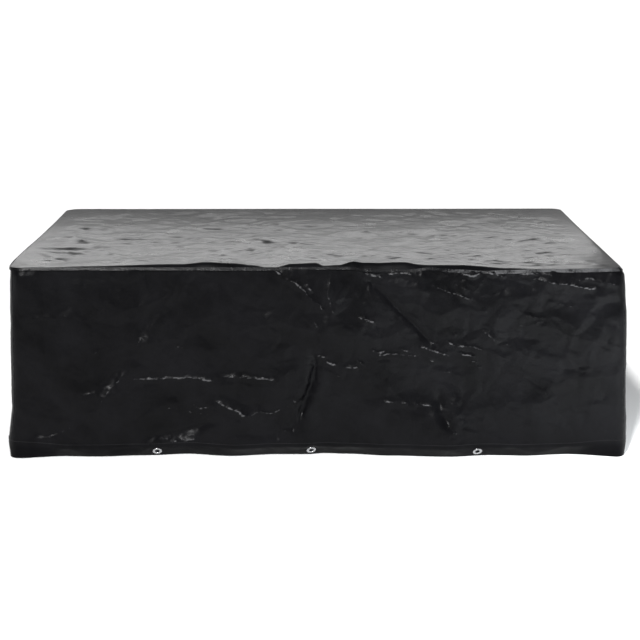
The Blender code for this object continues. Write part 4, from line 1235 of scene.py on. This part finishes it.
def cloth_material(name, roughness, crinkle, tucked_ior=None):
    """Black woven tape cloth with a laminated face: weave, crinkles, and paler scuffs on sharp folds, which
    are partly painted highlight.
    """
    made, tree, shader = new_material(name)
    place = add_node(tree, "ShaderNodeUVMap", uv_map="flat").outputs[0]
    fold = add_node(tree, "ShaderNodeAttribute", attribute_name="fold").outputs["Fac"]
    clouds = noise(tree, place, 5.0, detail=5.0, roughness=0.65)
    grain = noise(tree, place, 130.0, detail=3.0, roughness=0.7)
    wrinkle = noise(tree, place, 46.0, detail=3.0, roughness=0.62, distortion=0.8)
    ridged = maths(tree, "ABSOLUTE", maths(tree, "SUBTRACT", wrinkle, 0.5))
    fine = noise(tree, place, 150.0, detail=2.0, roughness=0.6, distortion=0.4)
    strength = maths(tree, "ADD", maths(tree, "MULTIPLY", fold, FOLD_CRINKLE), crinkle)
    height = maths(tree, "MULTIPLY", ridged, CRINKLE_RISE)
    height = maths(tree, "ADD", height, maths(tree, "MULTIPLY", fine, FINE_CRINKLE_RISE))
    height = maths(tree, "MULTIPLY", height, strength)
    weave = maths(tree, "MULTIPLY", weave_height(tree, place, TAPE * 2), WEAVE_RISE)
    height = maths(tree, "ADD", height, weave)
    bumped(tree, shader, height)
    dust = [DUST * part for part in CLOTH_COLOUR]
    dusty = mixed_colour(tree, ranged(tree, clouds, 0.35, 0.70, 0.0, 1.0), (*CLOTH_COLOUR, 1), (*dust, 1))
    # painted highlight with wear: where the fold share and the grain are high, the colour turns pale
    speckled = maths(tree, "ADD", fold, maths(tree, "MULTIPLY", grain, 1.1))
    wear_and_highlight = ranged(tree, speckled, 0.92, 1.30, 0.0, 1.0)
    shade = mixed_colour(tree, wear_and_highlight, dusty, WEAR_AND_HIGHLIGHT_COLOUR)
    tree.links.new(shade, shader.inputs["Base Color"])
    uneven = ranged(tree, clouds, 0.3, 0.7, roughness - 0.03, roughness + 0.03)
    rough = maths(tree, "ADD", uneven, maths(tree, "MULTIPLY", wear_and_highlight, 0.06))
    tree.links.new(rough, shader.inputs["Roughness"])
    shader.inputs["IOR"].default_value = CLOTH_IOR
    # painted shade: the tucked part of the hem gets a lower IOR and reflects less
    if tucked_ior:
        up = add_node(tree, "ShaderNodeSeparateXYZ", {0: place}).outputs[1]
        tree.links.new(ranged(tree, up, *TUCKED, tucked_ior, CLOTH_IOR), shader.inputs["IOR"])
    return made


def thread_material():
    made, tree, shader = new_material("black_thread")
    place = add_node(tree, "ShaderNodeTexCoord").outputs["Object"]
    twist = add_node(
        tree,
        "ShaderNodeTexWave",
        {"Vector": place, "Scale": 240.0, "Distortion": 2.0},
        bands_direction="DIAGONAL",
    ).outputs["Fac"]
    height = maths(tree, "MULTIPLY", twist, TWIST_RISE)
    bumped(tree, shader, height)
    shade = mixed_colour(tree, twist, grey(0.008, blue=0.001), grey(0.020, blue=0.002))
    tree.links.new(shade, shader.inputs["Base Color"])
    shader.inputs["Roughness"].default_value = 0.6
    return made


def metal_material():
    """Nickel-plated steel, lightly scratched."""
    made, tree, shader = new_material("eyelet_nickel")
    place = add_node(tree, "ShaderNodeTexCoord").outputs["Object"]
    patches = noise(tree, place, 180.0, detail=4.0, roughness=0.65)
    scratches = noise(tree, place, 1400.0, detail=3.0, roughness=0.7, distortion=1.5)
    patchy = ranged(tree, patches, 0.35, 0.65, 0.0, 1.0)
    shade = mixed_colour(tree, patchy, grey(0.46, blue=0.01), grey(0.32, blue=0.01))
    tree.links.new(shade, shader.inputs["Base Color"])
    polish = ranged(tree, patches, 0.3, 0.7, 0.16, 0.30)
    uneven = maths(tree, "ADD", polish, maths(tree, "MULTIPLY", scratches, 0.08))
    tree.links.new(uneven, shader.inputs["Roughness"])
    bumped(tree, shader, maths(tree, "MULTIPLY", scratches, SCRATCH_RISE))
    shader.inputs["Metallic"].default_value = 1.0
    return made


def floor_material():
    made, _, shader = new_material("pale_floor")
    shader.inputs["Base Color"].default_value = grey(0.90)
    shader.inputs["Roughness"].default_value = 0.9
    shader.inputs["Specular IOR Level"].default_value = 0.0
    return made


# ---- Stage ---------------------------------------------------------------------------------------------


def make_camera():
    data = bpy.data.cameras.new("camera")
    data.sensor_width = 36.0
    data.lens = CAMERA_LENS
    made = linked("camera", data)
    made.location = CAMERA_PLACE
    made.rotation_euler = (math.radians(90 - CAMERA_DIP), 0.0, math.radians(CAMERA_TURN))
    bpy.context.scene.camera = made


def sun_light(name, azimuth, elevation, spread, strength):
    """A far soft light. Azimuth 0 stands behind the camera, and - is to its left."""
    data = bpy.data.lights.new(name, "SUN")
    data.angle = math.radians(spread)
    data.energy = strength
    made = linked(name, data)
    turn = math.radians(azimuth)
    rise = math.radians(elevation)
    way = Vector((math.sin(turn) * math.cos(rise), -math.cos(turn) * math.cos(rise), math.sin(rise)))
    made.rotation_euler = (-way).to_track_quat("-Z", "Y").to_euler()
    return made


def area_light(name, place, target, size, radiance, colour=(1, 1, 1)):
    """A soft box that gives one radiance over its face."""
    data = bpy.data.lights.new(name, "AREA")
    data.shape = "RECTANGLE"
    data.size = size[0]
    data.size_y = size[1]
    data.energy = radiance * math.pi * size[0] * size[1]
    data.color = colour
    made = linked(name, data)
    made.location = place
    way = Vector(target) - Vector(place)
    made.rotation_euler = way.to_track_quat("-Z", "Y").to_euler()
    made.visible_camera = False
    return made


def make_world():
    """A studio that is brighter behind the object than in front of it."""
    world = bpy.data.worlds.new("studio")
    world.use_nodes = True
    tree = world.node_tree
    place = add_node(tree, "ShaderNodeTexCoord").outputs["Generated"]
    split = add_node(tree, "ShaderNodeSeparateXYZ", {0: place})
    behind = ranged(tree, split.outputs["Y"], -0.5, 0.9, WORLD_FRONT, WORLD_BEHIND)
    backdrop = add_node(tree, "ShaderNodeLightPath").outputs["Is Camera Ray"]
    seen = maths(tree, "MAXIMUM", behind, backdrop)
    tree.links.new(seen, tree.nodes["Background"].inputs["Color"])
    bpy.context.scene.world = world


def make_stage():
    mesh = bpy.data.meshes.new("floor")
    ground = bmesh.new()
    bmesh.ops.create_circle(ground, cap_ends=True, segments=96, radius=FLOOR_RADIUS)
    ground.to_mesh(mesh)
    ground.free()
    mesh.materials.append(floor_material())
    floor = linked("floor", mesh)
    floor.location = (0, 0, -FLOOR_UNDER)
    make_world()
    sun_light("key", azimuth=-21, elevation=39, spread=5, strength=KEY)
    area_light(
        "panel_behind",
        place=(-0.92, 1.02, 1.045),
        target=(-0.92, -0.6, 0.68),
        size=(4.4, 0.27),
        radiance=PANEL,
    )
    fill = area_light(
        "fill_right",
        place=(2.1, -2.5, 1.1),
        target=(2.1, -2.501, 0.0),
        size=(1.8, 1.8),
        radiance=FILL,
        colour=(0.93, 0.97, 1.0),
    )
    fill.visible_glossy = False


def carried(piece, slot_name, *replaced):
    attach(piece, "root")
    if replaced:
        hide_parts(*replaced)
    return piece


def main():
    bpy.context.scene.view_settings.view_transform = "Standard"
    make_camera()
    cloth = cloth_material("black_tarpaulin", roughness=0.32, crinkle=0.45)
    top_cloth = cloth_material("black_tarpaulin_top", roughness=0.29, crinkle=0.22)
    hem_cloth = cloth_material("black_tarpaulin_hem", roughness=0.32, crinkle=0.35, tucked_ior=HEM_IOR)
    thread = thread_material()
    metal = metal_material()
    top = carried(make_top(top_cloth), "tarpaulin", "panel_top")
    for side in SIDE_NAMES:
        eyelets = [read_eyelet(side, number) for number in range(1, EYELET_COUNTS[side] + 1)]
        skirt = carried(make_skirt(side, cloth), "tarpaulin", f"panel_{side}")
        hem = carried(make_hem(side, eyelets, hem_cloth), "hem", f"hem_{side}")
        carried(make_lap(side, cloth), "tarpaulin")
        corner = carried(make_corner(side, cloth), "tarpaulin")
        sewing = [lap_stitches(side), hem_stitches(side, eyelets), *corner_stitches(side)]
        carried(stitches_object(f"stitches_{side}", sewing, thread), "hem")
        for eyelet in eyelets:
            carried(make_eyelet(eyelet, metal), "eyelet", eyelet.name)
    make_stage()


main()
